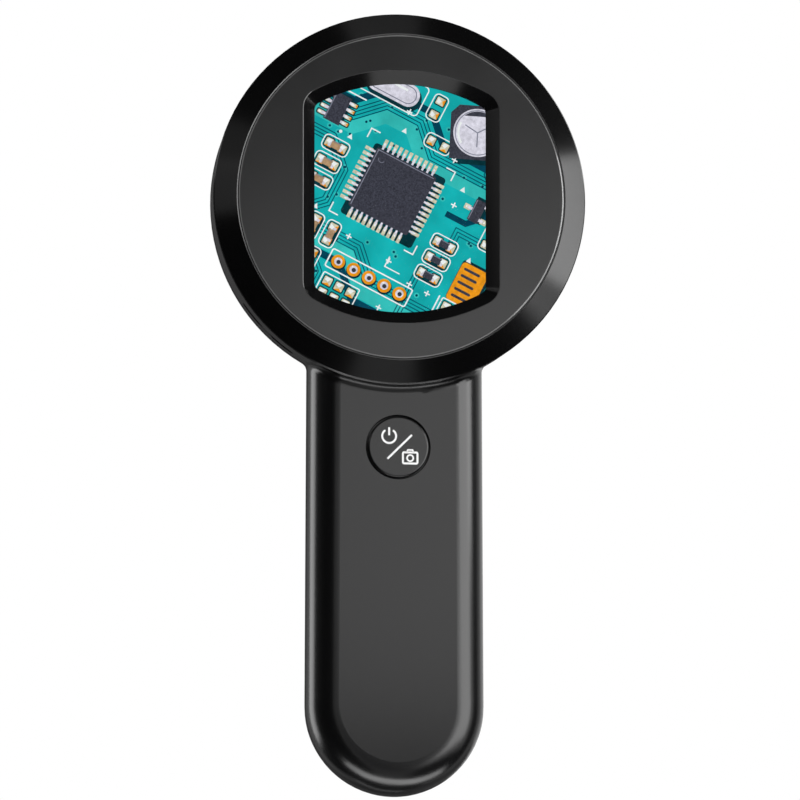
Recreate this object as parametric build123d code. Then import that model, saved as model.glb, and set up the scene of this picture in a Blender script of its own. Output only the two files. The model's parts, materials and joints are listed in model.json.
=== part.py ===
from build123d import *

import os
from math import cos, hypot, radians, sin, sqrt

# Handheld microscope with a round display head on a flaring handle, in millimetres.
# +Z runs up the handle to the top of the head, the display faces -Y and the contact hood +Y.
# The origin is on the optical axis in the plane of the hood's mouth, where the specimen lies.
# Depths are counted backwards from the front of the face plate.

# ---- Envelope ----
HEAD_RADIUS, HEAD_BACK_RADIUS = 33.7, 33.25
HEAD_DEPTH = 17.0
HOOD_REACH = 9.0
HANDLE_FACE = 4.7
HANDLE_TOP, HANDLE_TOP_RADIUS = -14.0, 15.7
HANDLE_END, HANDLE_END_RADIUS = -91.1, 16.05
HANDLE_ROUND, INNER_CHAMFER = 5.4, 2.3
NECK_FILLET = 1.6
WALL = 1.6
SEAM = 10.8
SEAM_GAP = 0.2
LIP_END = 9.6

# ---- Face: bezel ring, face plate and window ----
PLATE_RADIUS = 29.4
PLATE_GAP = 0.1
PLATE_THICKNESS = 2.0
EDGE_WIDTH, EDGE_DEPTH = 0.25, 0.12
BEVEL_DEPTH = 2.6
BEZEL_EDGE = 2.75
BEZEL_BORE = 30.1
SKIRT_END = 5.5
RIM = 2.95
WINDOW_HALF_WIDTH, WINDOW_HALF_HEIGHT = 17.7, 23.0
WINDOW_ARC, WINDOW_CORNER = 33.0, 3.7
CHAMFER_WIDTH, CHAMFER_DEPTH = 2.2, 1.9

# ---- Display stack ----
GLASS_BACK = 2.7
LCD_FRONT = 2.9
LCD_MIDDLE = 3.6
LCD_BACK = 4.7
LCD_WIDTH = 34.4
LCD_TOP, LCD_BOTTOM, LCD_LEDGE = 22.4, -24.2, -22.0
FLEX = 0.15

# ---- Main board and the ports in the head wall ----
BOARD_FRONT, BOARD_BACK = 6.2, 7.2
BOARD_RADIUS = 31.6
BOARD_SCREWS = [(26.0, 0.0), (0.0, 26.0), (-26.0, 0.0)]
PORT_DEPTH = 7.95
CARD_ANGLE, USB_ANGLE = 225, 315
USB_WIDTH, USB_HEIGHT = 8.94, 3.26
USB_MOUTH = 32.9

# ---- Housing screws ----
SCREW_REACH = 19.1
HOUSING_SCREWS = [
    (SCREW_REACH, SCREW_REACH), (-SCREW_REACH, SCREW_REACH),
    (10.5, -36.5), (-10.5, -36.5), (0.0, -99.7),
]
SCREW_RADIUS = 0.9
SCREW_SEAT = 15.4
BOSS_RADIUS = 2.3
BOSS_END = 10.7

# ---- Button in the handle ----
BUTTON_Z = -44.8
BUTTON_RADIUS, BUTTON_HOLE_RADIUS = 5.5, 5.75
BUTTON_PROUD = 0.4
BUTTON_FLANGE_RADIUS = 6.6
STEM_END = 7.7
SWITCH_FRONT = 8.3
BUTTON_BOARD = 10.0
BUTTON_BOARD_SCREWS = [(8.3, -49.9), (-8.3, -41.3)]

# ---- Battery ----
CELL_TOP, CELL_BOTTOM = -54.5, -94.5
CELL_FRONT, CELL_BACK = 7.2, 14.2
CELL_WIDTH = 24.0

# ---- Optics and focusing cam ----
GUIDE_BORE, GUIDE_RADIUS = 7.0, 8.6
GUIDE_END = 19.7
CELL_RADIUS = 6.9
LENS_REAR, LENS_FRONT = 12.4, 19.9
PEG_DEPTH, PEG_RADIUS, PEG_REACH = 14.2, 0.7, 10.1
FOCUS_TRAVEL = 3.0
FOCUS_SWEEP = 150.0
SLOT_CLEARANCE = 0.1
SLEEVE_BORE, SLEEVE_RADIUS = 8.7, 10.3
SLEEVE_START, WEB_START, WEB_END = 10.0, 17.3, 18.5
WEB_JOINT = 12.0
GRIP_BORE, GRIP_RADIUS, GRIP_END = 15.3, 19.0, 21.4
FLUTES, FLUTE_RADIUS, FLUTE_DEPTH = 36, 0.9, 0.35
KEY_ANGLES = (45, 135, 225, 315)

# ---- Lighting and contact hood ----
HOOD_RADIUS, HOOD_BORE, HOOD_BASE_BORE = 15.0, 13.6, 14.0
HOOD_STEP, HOOD_BASE = 21.5, 18.9
CARRIER_FRONT = 18.7
LED_BOARD_BACK = 20.3
LED_COUNT, LED_RING_RADIUS, LED_SIZE, LED_HEIGHT = 8, 11.6, 2.2, 0.6
PIN_RING_RADIUS, PIN_RADIUS = 7.8, 0.3


# ---- Building blocks ----
def deep(depth):
    """Y of a depth behind the front of the face plate."""
    return depth - HEAD_DEPTH - HOOD_REACH


def slab(sketch, near, far):
    """Prism of a sketch, drawn as seen from the front, between two depths."""
    return extrude(Plane.XZ.offset(-deep(far)) * sketch, amount=far - near)


def turned(*points):
    """Solid of revolution about the optical axis from (radius, depth) points."""
    outline = Polyline(*[(radius, deep(depth)) for radius, depth in points], close=True)
    return revolve(make_face(outline), Axis.Y)


def tube(inner, outer, near, far):
    return slab(Circle(outer) - Circle(inner), near, far)


def rod(x, z, radius, near, far):
    return slab(Pos(x, z) * Circle(radius), near, far)


def block(x, z, width, height, near, far, corner=0.0):
    outline = RectangleRounded(width, height, corner) if corner else Rectangle(width, height)
    return slab(Pos(x, z) * outline, near, far)


def polar(radius, angle):
    return radius * cos(radians(angle)), radius * sin(radians(angle))


def spoke(angle, sketch, start, end, depth=PORT_DEPTH):
    """Prism that runs outwards from the optical axis; the sketch's Y points to the front."""
    x, z = polar(1, angle)
    side = Plane(origin=(0, deep(depth), 0), x_dir=(-z, 0, x), z_dir=(x, 0, z))
    return extrude(side.offset(start) * sketch, amount=end - start)


def joined(solids):
    solids = list(solids)
    whole = solids[0]
    for solid in solids[1:]:
        whole += solid
    return whole


def group(solids):
    """Several separate solids in one node."""
    return Compound(children=[solid for shape in solids for solid in shape.solids()])


def edges_at(shape, depth):
    """Edges that lie wholly at one depth."""
    return [
        edge for edge in shape.edges()
        if all(abs((edge @ at).Y - deep(depth)) < 1e-4 for at in (0, 0.3, 0.7, 1))
    ]


# ---- Outlines seen from the front ----
def handle_outline(inset=0.0):
    """Flaring capsule: two arcs joined by their common tangents."""
    tilt = (HANDLE_END_RADIUS - HANDLE_TOP_RADIUS) / (HANDLE_TOP - HANDLE_END)
    run = sqrt(1 - tilt**2)
    top, end = HANDLE_TOP_RADIUS - inset, HANDLE_END_RADIUS - inset
    top_right = (top * run, HANDLE_TOP + top * tilt)
    end_right = (end * run, HANDLE_END + end * tilt)
    top_left = (-top_right[0], top_right[1])
    end_left = (-end_right[0], end_right[1])
    return make_face([
        Line(top_right, end_right),
        ThreePointArc(end_right, (0, HANDLE_END - end), end_left),
        Line(end_left, top_left),
        ThreePointArc(top_left, (0, HANDLE_TOP + top), top_right),
    ])


def body_outline(inset=0.0):
    """Head and handle together, with rounded necks."""
    outline = Circle(HEAD_BACK_RADIUS - inset) + handle_outline(inset)
    necks = [v for v in outline.vertices() if v.Y < HANDLE_TOP and v.Y > HANDLE_TOP - HEAD_RADIUS
             and abs(v.X) > BOSS_RADIUS]
    return fillet(necks, NECK_FILLET + inset)


def window_outline(inset=0.0):
    """Upright window with straight sides and bowed ends."""
    bow = WINDOW_ARC - inset
    rise = WINDOW_HALF_HEIGHT - inset - bow
    outline = Rectangle(2 * (WINDOW_HALF_WIDTH - inset), 2 * WINDOW_HALF_HEIGHT)
    outline &= Pos(0, rise) * Circle(bow)
    outline &= Pos(0, -rise) * Circle(bow)
    return fillet(outline.vertices(), WINDOW_CORNER - inset)


# ---- Housing ----
def on_head_wall(point):
    """Whether a point lies on the tapering side wall of the head."""
    share = (point.Y - deep(RIM)) / (SEAM - SEAM_GAP / 2 - RIM)
    radius = HEAD_RADIUS + (HEAD_BACK_RADIUS - HEAD_RADIUS) * share
    return abs(hypot(point.X, point.Z) - radius) < 1e-3


def front_housing():
    end = SEAM - SEAM_GAP / 2
    handle = slab(handle_outline(), HANDLE_FACE, end)
    handle = fillet(edges_at(handle, HANDLE_FACE), HANDLE_ROUND)
    outer = turned((0, RIM), (HEAD_RADIUS, RIM), (HEAD_BACK_RADIUS, end), (0, end)) + handle
    junction = [
        edge for edge in outer.edges()
        if all(on_head_wall(edge @ at) for at in (0, 0.5, 1))
        and (edge @ 0.5).Z < HANDLE_TOP and edge not in edges_at(outer, end)
    ]
    outer = fillet(junction, NECK_FILLET)
    outer = chamfer([edge for edge in edges_at(outer, RIM) if edge.radius > BEZEL_BORE], 0.2)

    hollow = slab(handle_outline(WALL), HANDLE_FACE + WALL, end)
    hollow = chamfer(edges_at(hollow, HANDLE_FACE + WALL), INNER_CHAMFER)
    hollow += slab(Circle(HEAD_RADIUS - WALL), RIM, LIP_END) + slab(body_outline(WALL), LIP_END, end)
    hollow += tube(HEAD_RADIUS - WALL - 1, HEAD_RADIUS - WALL + 0.4, 4.4, 5.2)

    start = HANDLE_FACE + WALL / 2
    inside = [rod(x, z, BOSS_RADIUS, BOARD_BACK if z > 0 else start, BOSS_END)
              for x, z in HOUSING_SCREWS]
    for angle in (45, 135):
        inside.append(spoke(angle, Rectangle(1.6, 2.4), 28.0, 33.0, depth=8.5))
    inside += [rod(x, z, 1.6, start, BUTTON_BOARD) for x, z in BUTTON_BOARD_SCREWS]
    inside += [block(side * 1.8, BUTTON_Z - 7.65, 1.0, 1.5, start, 7.9) for side in (-1, 1)]
    inside += [block(0, z, 22, 1.0, start, 9.5) for z in (CELL_TOP + 1.3, CELL_BOTTOM - 1.9)]

    shell = outer - hollow + (joined(inside) & outer)
    shell -= rod(0, BUTTON_Z, BUTTON_HOLE_RADIUS, HANDLE_FACE - 1, HANDLE_FACE + WALL + 0.2)
    mouth = [edge for edge in edges_at(shell, HANDLE_FACE)
             if edge.geom_type == GeomType.CIRCLE and edge.radius < BUTTON_HOLE_RADIUS + 1]
    shell = chamfer(mouth, 0.12)
    for x, z in HOUSING_SCREWS:
        shell -= rod(x, z, SCREW_RADIUS, 8.2, end + 1)
    for x, z in BUTTON_BOARD_SCREWS:
        shell -= rod(x, z, 0.7, 8.4, BUTTON_BOARD + 1)
    shell -= spoke(CARD_ANGLE, RectangleRounded(12.7, 1.6, 0.6), 31.0, 35.0)
    shell -= spoke(USB_ANGLE, SlotOverall(USB_WIDTH + 0.7, USB_HEIGHT + 0.5), 31.0, 35.0)
    return shell - nail_scoop()


def nail_scoop():
    """Half-moon beside the card slot, deepest at the slot."""
    radius, deepest, fade = 8.0, 0.9, 2.4
    x, z = polar(HEAD_RADIUS + radius - deepest, CARD_ANGLE)
    outline = Polyline(
        (x, deep(PORT_DEPTH)), (x + radius, deep(PORT_DEPTH)),
        (x + radius - deepest, deep(PORT_DEPTH + fade)), (x, deep(PORT_DEPTH + fade)), close=True)
    return revolve(Plane.XY.offset(z) * make_face(outline), Axis((x, 0, z), (0, 1, 0)))


def rear_cover():
    start = SEAM + SEAM_GAP / 2
    back = HEAD_DEPTH - WALL
    outer = slab(body_outline(), start, HEAD_DEPTH)
    outer = fillet(edges_at(outer, HEAD_DEPTH), HANDLE_ROUND)
    hollow = slab(body_outline(WALL), start, back)
    hollow = chamfer(edges_at(hollow, back), INNER_CHAMFER)

    lip = slab(body_outline(WALL + 0.1) - body_outline(WALL + 0.9), LIP_END + 0.2, start)
    lip += slab(body_outline(WALL - 0.2) - body_outline(WALL + 0.9), start, start + 1.0)
    inside = [rod(x, z, BOSS_RADIUS + 0.3, BOSS_END, back + 0.5) for x, z in HOUSING_SCREWS]
    inside.append(tube(SLEEVE_RADIUS + 0.08, WEB_JOINT, 13.0, back + 0.5))
    inside += [block(0, z, 20, 1.2, CELL_BACK + 0.1, back + 0.5) for z in (-65, -85)]

    cover = outer - hollow + lip + joined(inside)
    cover -= rod(0, 0, SLEEVE_RADIUS + 0.08, SEAM, HEAD_DEPTH + 1)
    cover -= tube(12.5, 14.7, 16.6, HEAD_DEPTH + 1)
    for x, z in HOUSING_SCREWS:
        cover -= rod(x, z, SCREW_RADIUS + 0.2, BOSS_END - 1, HEAD_DEPTH)
        cover -= rod(x, z, 2.1, SCREW_SEAT, HEAD_DEPTH + 1)
    return cover


def screw(x, z, head_radius, head_height, shank_radius, seat, tip):
    """Pan-head screw driven from the back, with a cross recess."""
    head = rod(x, z, head_radius, seat, seat + head_height)
    head = chamfer(edges_at(head, seat + head_height), head_height * 0.35)
    recess = block(x, z, head_radius, 0.4, seat + head_height / 2, seat + head_height)
    recess += block(x, z, 0.4, head_radius, seat + head_height / 2, seat + head_height)
    return head + rod(x, z, shank_radius, tip, seat) - recess


def housing_screws():
    return group(screw(x, z, 1.9, 1.2, SCREW_RADIUS, SCREW_SEAT, 8.4) for x, z in HOUSING_SCREWS)


# ---- Face ----
def bezel_ring():
    """Bevelled ring with a skirt that snaps into the head."""
    bore, rim, skirt = PLATE_RADIUS + PLATE_GAP, HEAD_RADIUS - 0.05, HEAD_RADIUS - WALL - 0.1
    inner, outer = bore + EDGE_WIDTH, rim - 0.15
    slope = BEVEL_DEPTH / (rim - bore)
    return turned(
        (28.0, PLATE_THICKNESS), (bore, PLATE_THICKNESS),
        (bore, EDGE_WIDTH * slope + EDGE_DEPTH), (inner, EDGE_WIDTH * slope),
        (outer, (outer - bore) * slope), (rim, BEVEL_DEPTH + 0.05), (rim, BEZEL_EDGE),
        (HEAD_RADIUS - 0.9, BEZEL_EDGE), (HEAD_RADIUS - 0.9, RIM), (skirt, RIM),
        (skirt, 4.5), (skirt + 0.35, 4.7), (skirt + 0.35, 4.9), (skirt, 5.1),
        (skirt, SKIRT_END), (BEZEL_BORE, SKIRT_END), (BEZEL_BORE, GLASS_BACK), (28.0, GLASS_BACK),
    )


def face_plate():
    plate = turned(
        (0, 0), (PLATE_RADIUS - EDGE_WIDTH, 0), (PLATE_RADIUS, EDGE_DEPTH),
        (PLATE_RADIUS, PLATE_THICKNESS), (0, PLATE_THICKNESS))
    mouth, edge, throat = [
        (Plane.XZ.offset(-deep(depth)) * window_outline(inset)).face()
        for depth, inset in ((0, -0.15), (0.07, 0), (CHAMFER_DEPTH, CHAMFER_WIDTH))]
    plate -= loft([mouth, edge], ruled=True) + loft([edge, throat], ruled=True)
    return plate - slab(window_outline(CHAMFER_WIDTH), 0, PLATE_THICKNESS)


def display_window():
    return slab(window_outline(CHAMFER_WIDTH - 1.5), PLATE_THICKNESS, GLASS_BACK)


def window_gasket():
    frame = window_outline(CHAMFER_WIDTH - 1.5) - window_outline(CHAMFER_WIDTH - 0.1)
    return slab(frame, GLASS_BACK, LCD_FRONT)


# ---- Display stack ----
def lcd_panel():
    """Two glass sheets; the back one carries the driver ledge at the bottom."""
    between = (LCD_FRONT + LCD_MIDDLE) / 2
    front = block(0, (LCD_TOP + LCD_LEDGE) / 2, LCD_WIDTH, LCD_TOP - LCD_LEDGE, LCD_FRONT, between)
    back = block(0, (LCD_TOP + LCD_BOTTOM) / 2, LCD_WIDTH, LCD_TOP - LCD_BOTTOM, between, LCD_MIDDLE)
    return front + back


def backlight_frame():
    middle, height = (LCD_TOP + LCD_BOTTOM) / 2, LCD_TOP - LCD_BOTTOM
    return block(0, middle, LCD_WIDTH, height, LCD_MIDDLE, LCD_BACK, 0.8)


def ribbon(width, x, radius, *points):
    """Flat cable of even thickness along (height, depth) points, bent at each."""
    line = FilletPolyline(*[(deep(depth), z) for z, depth in points], radius=radius)
    return extrude(Plane.YZ.offset(x - width / 2) * trace(line, FLEX), amount=width)


def display_flex():
    on_ledge = (LCD_FRONT + LCD_MIDDLE) / 2 - FLEX / 2
    on_board = BOARD_FRONT - FLEX / 2
    turn = LCD_BOTTOM - 2.0
    return ribbon(
        12, 0, 1.2, (LCD_LEDGE - 0.3, on_ledge), (turn, on_ledge), (turn, on_board), (-19, on_board))


def display_bracket():
    """Moulded frame between the display and the main board."""
    bracket = rod(0, 0, BEZEL_BORE - 0.3, LCD_BACK, SKIRT_END)
    bracket += tube(28.0, HEAD_RADIUS - WALL - 0.3, SKIRT_END, BOARD_FRONT)
    rails = [block(side * 18.1, 0, 1.4, 26, LCD_MIDDLE, LCD_BACK + 0.5) for side in (-1, 1)]
    pads = [rod(x, z, 2.2, SKIRT_END, BOARD_FRONT) for x, z in BOARD_SCREWS]
    bracket += joined(rails + pads)
    bracket -= block(0, 0, 22, 27, LCD_BACK - 1, BOARD_FRONT + 1, 3)
    bracket -= block(0, LCD_BOTTOM - 2.2, 16, 4.0, LCD_BACK - 1, SKIRT_END + 0.1, 1)
    for x, z in BOARD_SCREWS:
        bracket -= rod(x, z, 0.7, LCD_BACK - 1, BOARD_FRONT + 1)
    return bracket


# ---- Main board ----
def main_board():
    board = rod(0, 0, BOARD_RADIUS, BOARD_FRONT, BOARD_BACK)
    board -= spoke(USB_ANGLE, Rectangle(USB_WIDTH + 0.4, 4), 25.3, 33)
    for x, z in BOARD_SCREWS:
        board -= rod(x, z, 0.7, BOARD_FRONT - 1, BOARD_BACK + 1)
    for x, z in guide_screw_places():
        board -= rod(x, z, 0.8, BOARD_FRONT - 1, BOARD_BACK + 1)
    for x, z in pin_places():
        board -= rod(x, z, PIN_RADIUS, BOARD_FRONT - 1, BOARD_BACK + 1)
    return board


def processor_chip():
    return block(0, 18.2, 9.5, 9.5, BOARD_BACK, BOARD_BACK + 1.0, 0.3)


def memory_chip():
    return block(-13.2, 12.6, 8, 6, BOARD_BACK, BOARD_BACK + 0.9, 0.2)


def power_parts():
    """Coil, capacitors and crystal beside the processor."""
    coil = block(14.8, 9.2, 4.2, 4.2, BOARD_BACK, BOARD_BACK + 2.0, 0.8)
    capacitors = [
        block(19.5, z, 3.2, 1.6, BOARD_BACK, BOARD_BACK + 1.4, 0.2) for z in (4.6, 1.8, -1.0)]
    crystal = block(-19.0, 3.6, 3.2, 2.5, BOARD_BACK, BOARD_BACK + 0.8, 0.3)
    return group([coil, crystal, *capacitors])


def card_socket():
    height = 1.5
    middle = PORT_DEPTH - BOARD_BACK - height / 2
    shell = spoke(CARD_ANGLE, Pos(0, middle) * RectangleRounded(14.0, height, 0.2), 16.8, 31.3)
    return shell - spoke(CARD_ANGLE, Rectangle(11.2, 0.9), 19.0, 31.3)


def usb_shell():
    """Rolled steel shell, sunk in the board's edge and seated on two wings."""
    shell = spoke(USB_ANGLE, SlotOverall(USB_WIDTH, USB_HEIGHT), 25.6, USB_MOUTH)
    wings = Pos(0, PORT_DEPTH - BOARD_BACK - 0.15) * Rectangle(12.4, 0.3)
    shell += spoke(USB_ANGLE, wings, 27.0, 30.0)
    return shell - spoke(USB_ANGLE, SlotOverall(USB_WIDTH - 0.6, USB_HEIGHT - 0.6), 26.6, USB_MOUTH)


def usb_tongue():
    return spoke(USB_ANGLE, RectangleRounded(6.7, 0.7, 0.2), 26.6, USB_MOUTH - 0.7)


def board_screws():
    places = [(x, z, BOARD_BACK, 4.9) for x, z in BOARD_SCREWS]
    places += [(x, z, BUTTON_BOARD + 1.0, 8.6) for x, z in BUTTON_BOARD_SCREWS]
    return group(screw(x, z, 1.4, 0.7, 0.7, seat, tip) for x, z, seat, tip in places)


# ---- Button ----
def button_cap():
    front = HANDLE_FACE - BUTTON_PROUD
    inner = HANDLE_FACE + WALL + 0.05
    cap = rod(0, BUTTON_Z, BUTTON_RADIUS, front, inner + 0.6)
    cap = fillet(edges_at(cap, front), 0.35)
    cap += rod(0, BUTTON_Z, BUTTON_FLANGE_RADIUS, inner, inner + 0.6)
    cap += block(0, BUTTON_Z - 6.95, 2.2, 1.5, inner, inner + 0.6)
    cap -= rod(0, BUTTON_Z, 4.4, front + 1.2, inner + 0.6)
    return cap + rod(0, BUTTON_Z, 1.7, front + 1.2, STEM_END)


def switch_plunger():
    plunger = rod(0, BUTTON_Z, 1.5, STEM_END, 9.3)
    return chamfer(edges_at(plunger, STEM_END), 0.2)


def switch_body():
    """Tact switch: square case, round guide for the plunger and four legs."""
    case = block(0, BUTTON_Z, 5.2, 5.2, SWITCH_FRONT, BUTTON_BOARD, 0.4)
    legs = [
        block(side * 3.1, BUTTON_Z + rise, 1.2, 0.8, BUTTON_BOARD - 0.2, BUTTON_BOARD)
        for side in (-1, 1) for rise in (-1.8, 1.8)]
    return joined([case, *legs]) - rod(0, BUTTON_Z, 1.6, SWITCH_FRONT - 1, 9.8)


def button_board():
    board = block(0, -45.6, 20, 12, BUTTON_BOARD, BUTTON_BOARD + 1.0, 1.5)
    for x, z in BUTTON_BOARD_SCREWS:
        board -= rod(x, z, 0.7, BUTTON_BOARD - 1, BUTTON_BOARD + 2)
    return board


def button_flex():
    on_main, on_button = BOARD_BACK + FLEX / 2, BUTTON_BOARD - FLEX / 2
    return ribbon(
        6, -3.5, 2.0, (-25, on_main), (-31, on_main), (-38.2, on_button), (-41.6, on_button))


# ---- Battery ----
def battery_cell():
    middle, height = (CELL_TOP + CELL_BOTTOM) / 2, CELL_TOP - CELL_BOTTOM
    cell = block(0, middle, CELL_WIDTH, height, CELL_FRONT, CELL_BACK)
    return fillet([e for e in cell.edges() if abs((e % 0.5).Z) > 0.9], 1.6)


def battery_pad():
    middle = (CELL_TOP + CELL_BOTTOM) / 2
    return block(0, middle, 18, 34, HANDLE_FACE + WALL, CELL_FRONT, 1)


def battery_plug():
    return block(5.4, -25.6, 4.4, 3.4, BOARD_BACK, BOARD_BACK + 2.8, 0.3)


def battery_leads():
    """Two wires from the cell to the plug, behind the button board."""
    leads = []
    for x in (4.6, 6.2):
        route = FilletPolyline(
            (x, deep(8.6), -27.3), (x, deep(8.6), -33.0), (x, deep(12.4), -39.0),
            (x, deep(12.4), CELL_TOP), radius=3.0)
        section = Plane(origin=route @ 0, z_dir=route % 0) * Circle(0.5)
        leads.append(sweep(section, path=route))
    return group(leads)


# ---- Optics ----
def guide_screw_places():
    return [(0, 9.9), (0, -9.9)]


def pin_places():
    return [polar(PIN_RING_RADIUS, angle) for angle in KEY_ANGLES]


def image_sensor():
    return block(0, 0, 7.0, 7.0, BOARD_BACK, BOARD_BACK + 1.0, 0.2)


def sensor_glass():
    return block(0, 0, 5.2, 5.2, BOARD_BACK + 1.0, BOARD_BACK + 1.5)


def lens_guide():
    """Tube on the main board with two straight slots for the pegs of the lens cell."""
    guide = tube(GUIDE_BORE, GUIDE_RADIUS, BOARD_BACK, GUIDE_END)
    guide += tube(GUIDE_BORE, 12.0, BOARD_BACK, BOARD_BACK + 1.5)
    for x, z in guide_screw_places():
        guide += rod(x, z, 1.9, BOARD_BACK, 9.7) - rod(0, 0, GUIDE_BORE, BOARD_BACK, 9.7)
        guide -= rod(x, z, 0.8, BOARD_BACK, 9.3)
    slot = SlotOverall(FOCUS_TRAVEL + 2 * PEG_RADIUS + 4 * SLOT_CLEARANCE,
                       2 * (PEG_RADIUS + SLOT_CLEARANCE), rotation=90)
    for angle in (0, 180):
        guide -= spoke(angle, slot, 6.0, 9.5, depth=PEG_DEPTH)
    for x, z in pin_places():
        guide -= rod(x, z, PIN_RADIUS, BOARD_BACK, GUIDE_END)
    return guide


def guide_screws():
    places = guide_screw_places()
    return group(
        rod(x, z, 1.5, SKIRT_END, BOARD_FRONT) + rod(x, z, 0.8, BOARD_FRONT, 9.1) for x, z in places)


def lens_cell():
    """Stepped barrel: rear seat, stop, flaring baffle and front seat."""
    cell = turned(
        (3.8, LENS_REAR), (6.5, LENS_REAR), (CELL_RADIUS, LENS_REAR + 0.4),
        (CELL_RADIUS, LENS_FRONT - 0.3), (6.6, LENS_FRONT), (5.3, LENS_FRONT), (5.0, 19.5),
        (5.0, 17.2), (4.2, 17.2), (1.6, 15.6), (1.6, 14.6), (3.8, 14.6),
    )
    for angle in (0, 180):
        cell -= spoke(angle, Circle(PEG_RADIUS), 4.8, 7.5, depth=PEG_DEPTH)
    return cell


def guide_pegs():
    pegs = [spoke(angle, Circle(PEG_RADIUS), 4.8, PEG_REACH, depth=PEG_DEPTH) for angle in (0, 180)]
    return group(pegs)


def plano_convex(rim_radius, dome_radius, flat, rim, crown):
    """Lens with a flat face at one depth, a flat rim at another and a dome to the crown."""
    profile = make_face([
        Polyline((0, deep(flat)), (rim_radius, deep(flat)), (rim_radius, deep(rim)),
                 (dome_radius, deep(rim))),
        ThreePointArc((dome_radius, deep(rim)), dome_middle(dome_radius, rim, crown),
                      (0, deep(crown))),
        Line((0, deep(crown)), (0, deep(flat))),
    ])
    return revolve(profile, Axis.Y)


def dome_middle(dome_radius, rim, crown):
    """Point half-way out on the arc from a dome's crown to its rim."""
    rise = abs(crown - rim)
    curve = (dome_radius**2 + rise**2) / (2 * rise)
    drop = curve - sqrt(curve**2 - (dome_radius / 2) ** 2)
    towards_rim = 1 if rim > crown else -1
    return dome_radius / 2, deep(crown + towards_rim * drop)


def front_lens():
    return plano_convex(5.0, 4.2, 17.2, 18.4, 19.3)


def rear_lens():
    return plano_convex(3.8, 3.4, 14.6, 13.8, 12.8)


def lens_retainer():
    return turned((4.3, 18.4), (5.0, 18.4), (5.0, 19.3), (4.7, 19.3))


def cam_slot():
    """Cutters for the helical slot that carries a peg over the whole sweep of the focusing ring."""
    width = 2 * (PEG_RADIUS + SLOT_CLEARANCE)
    middle = (SLEEVE_BORE + SLEEVE_RADIUS) / 2
    pitch = FOCUS_TRAVEL * 360 / FOCUS_SWEEP
    first = deep(PEG_DEPTH) - FOCUS_TRAVEL / 2
    path = Helix(pitch, FOCUS_TRAVEL, middle, center=(0, first, 0), direction=(0, 1, 0))
    x, z = (path @ 0).X, (path @ 0).Z
    start = Plane(origin=path @ 0, x_dir=(x, 0, z), z_dir=(z, 0, -x))
    cutters = [sweep(start * Rectangle(3.0, width), path=path, is_frenet=True)]
    for end in (path @ 0, path @ 1):
        outwards = Plane(origin=(0, end.Y, 0), z_dir=(end.X, 0, end.Z)).offset(middle - 1.5)
        cutters.append(extrude(outwards * Circle(width / 2), amount=3.0))
    to_peg = Vector(x, 0, z).get_signed_angle(Vector(1, 0, 0), Vector(0, 1, 0))
    return [cutter.rotate(Axis.Y, to_peg - FOCUS_SWEEP / 2) for cutter in cutters]


def cam_keys():
    return joined(
        spoke(angle, Rectangle(1.6, WEB_END - WEB_START), 11.0, WEB_JOINT + 0.8,
              depth=(WEB_START + WEB_END) / 2)
        for angle in KEY_ANGLES)


def cam_sleeve():
    sleeve = turned(
        (SLEEVE_BORE, SLEEVE_START), (SLEEVE_RADIUS, SLEEVE_START), (SLEEVE_RADIUS, WEB_START),
        (WEB_JOINT, WEB_START), (WEB_JOINT, WEB_END), (SLEEVE_BORE, WEB_END),
    )
    sleeve += cam_keys()
    for cutter in cam_slot():
        sleeve -= cutter
        sleeve -= cutter.rotate(Axis.Y, 180)
    return sleeve


def focus_grip():
    """Finger ring with flutes round its rim and an index notch in its back face."""
    grip = turned(
        (WEB_JOINT, WEB_START), (GRIP_RADIUS - 0.5, WEB_START), (GRIP_RADIUS, WEB_START + 0.5),
        (GRIP_RADIUS, GRIP_END - 0.6), (GRIP_RADIUS - 0.6, GRIP_END), (GRIP_BORE + 0.3, GRIP_END),
        (GRIP_BORE, GRIP_END - 0.3), (GRIP_BORE, WEB_END), (WEB_JOINT, WEB_END),
    )
    grip -= cam_keys()
    for turn in range(FLUTES):
        x, z = polar(GRIP_RADIUS + FLUTE_RADIUS - FLUTE_DEPTH, (turn + 0.5) * 360 / FLUTES)
        grip -= rod(x, z, FLUTE_RADIUS, WEB_START - 1, GRIP_END + 1)
    return grip - block(0, 17.2, 0.8, 2.2, GRIP_END - 0.4, GRIP_END + 1)


def drag_ring():
    return tube(12.6, 14.6, 16.6, WEB_START - 0.05)


# ---- Lighting and hood ----
def led_carrier():
    return turned(
        (GUIDE_RADIUS, CARRIER_FRONT), (13.7, CARRIER_FRONT), (HOOD_BASE_BORE, HOOD_BASE),
        (HOOD_BASE_BORE, GUIDE_END), (GUIDE_RADIUS, GUIDE_END),
    )


def led_board():
    board = tube(7.2, 13.9, GUIDE_END, LED_BOARD_BACK)
    for x, z in pin_places():
        board -= rod(x, z, PIN_RADIUS, GUIDE_END, LED_BOARD_BACK)
    return board


def leds():
    lamps = []
    for turn in range(LED_COUNT):
        place = Rot(0, 0, (turn + 0.5) * 360 / LED_COUNT) * Pos(LED_RING_RADIUS, 0)
        lamps.append(slab(place * Rectangle(LED_SIZE, LED_SIZE), LED_BOARD_BACK,
                          LED_BOARD_BACK + LED_HEIGHT))
    return group(lamps)


def led_pins():
    return group(
        rod(x, z, PIN_RADIUS, BOARD_FRONT - 0.4, LED_BOARD_BACK + 0.3) for x, z in pin_places())


def light_diffuser():
    return tube(8.9, HOOD_BASE_BORE - 0.05, HOOD_STEP - 0.55, HOOD_STEP)


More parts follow.
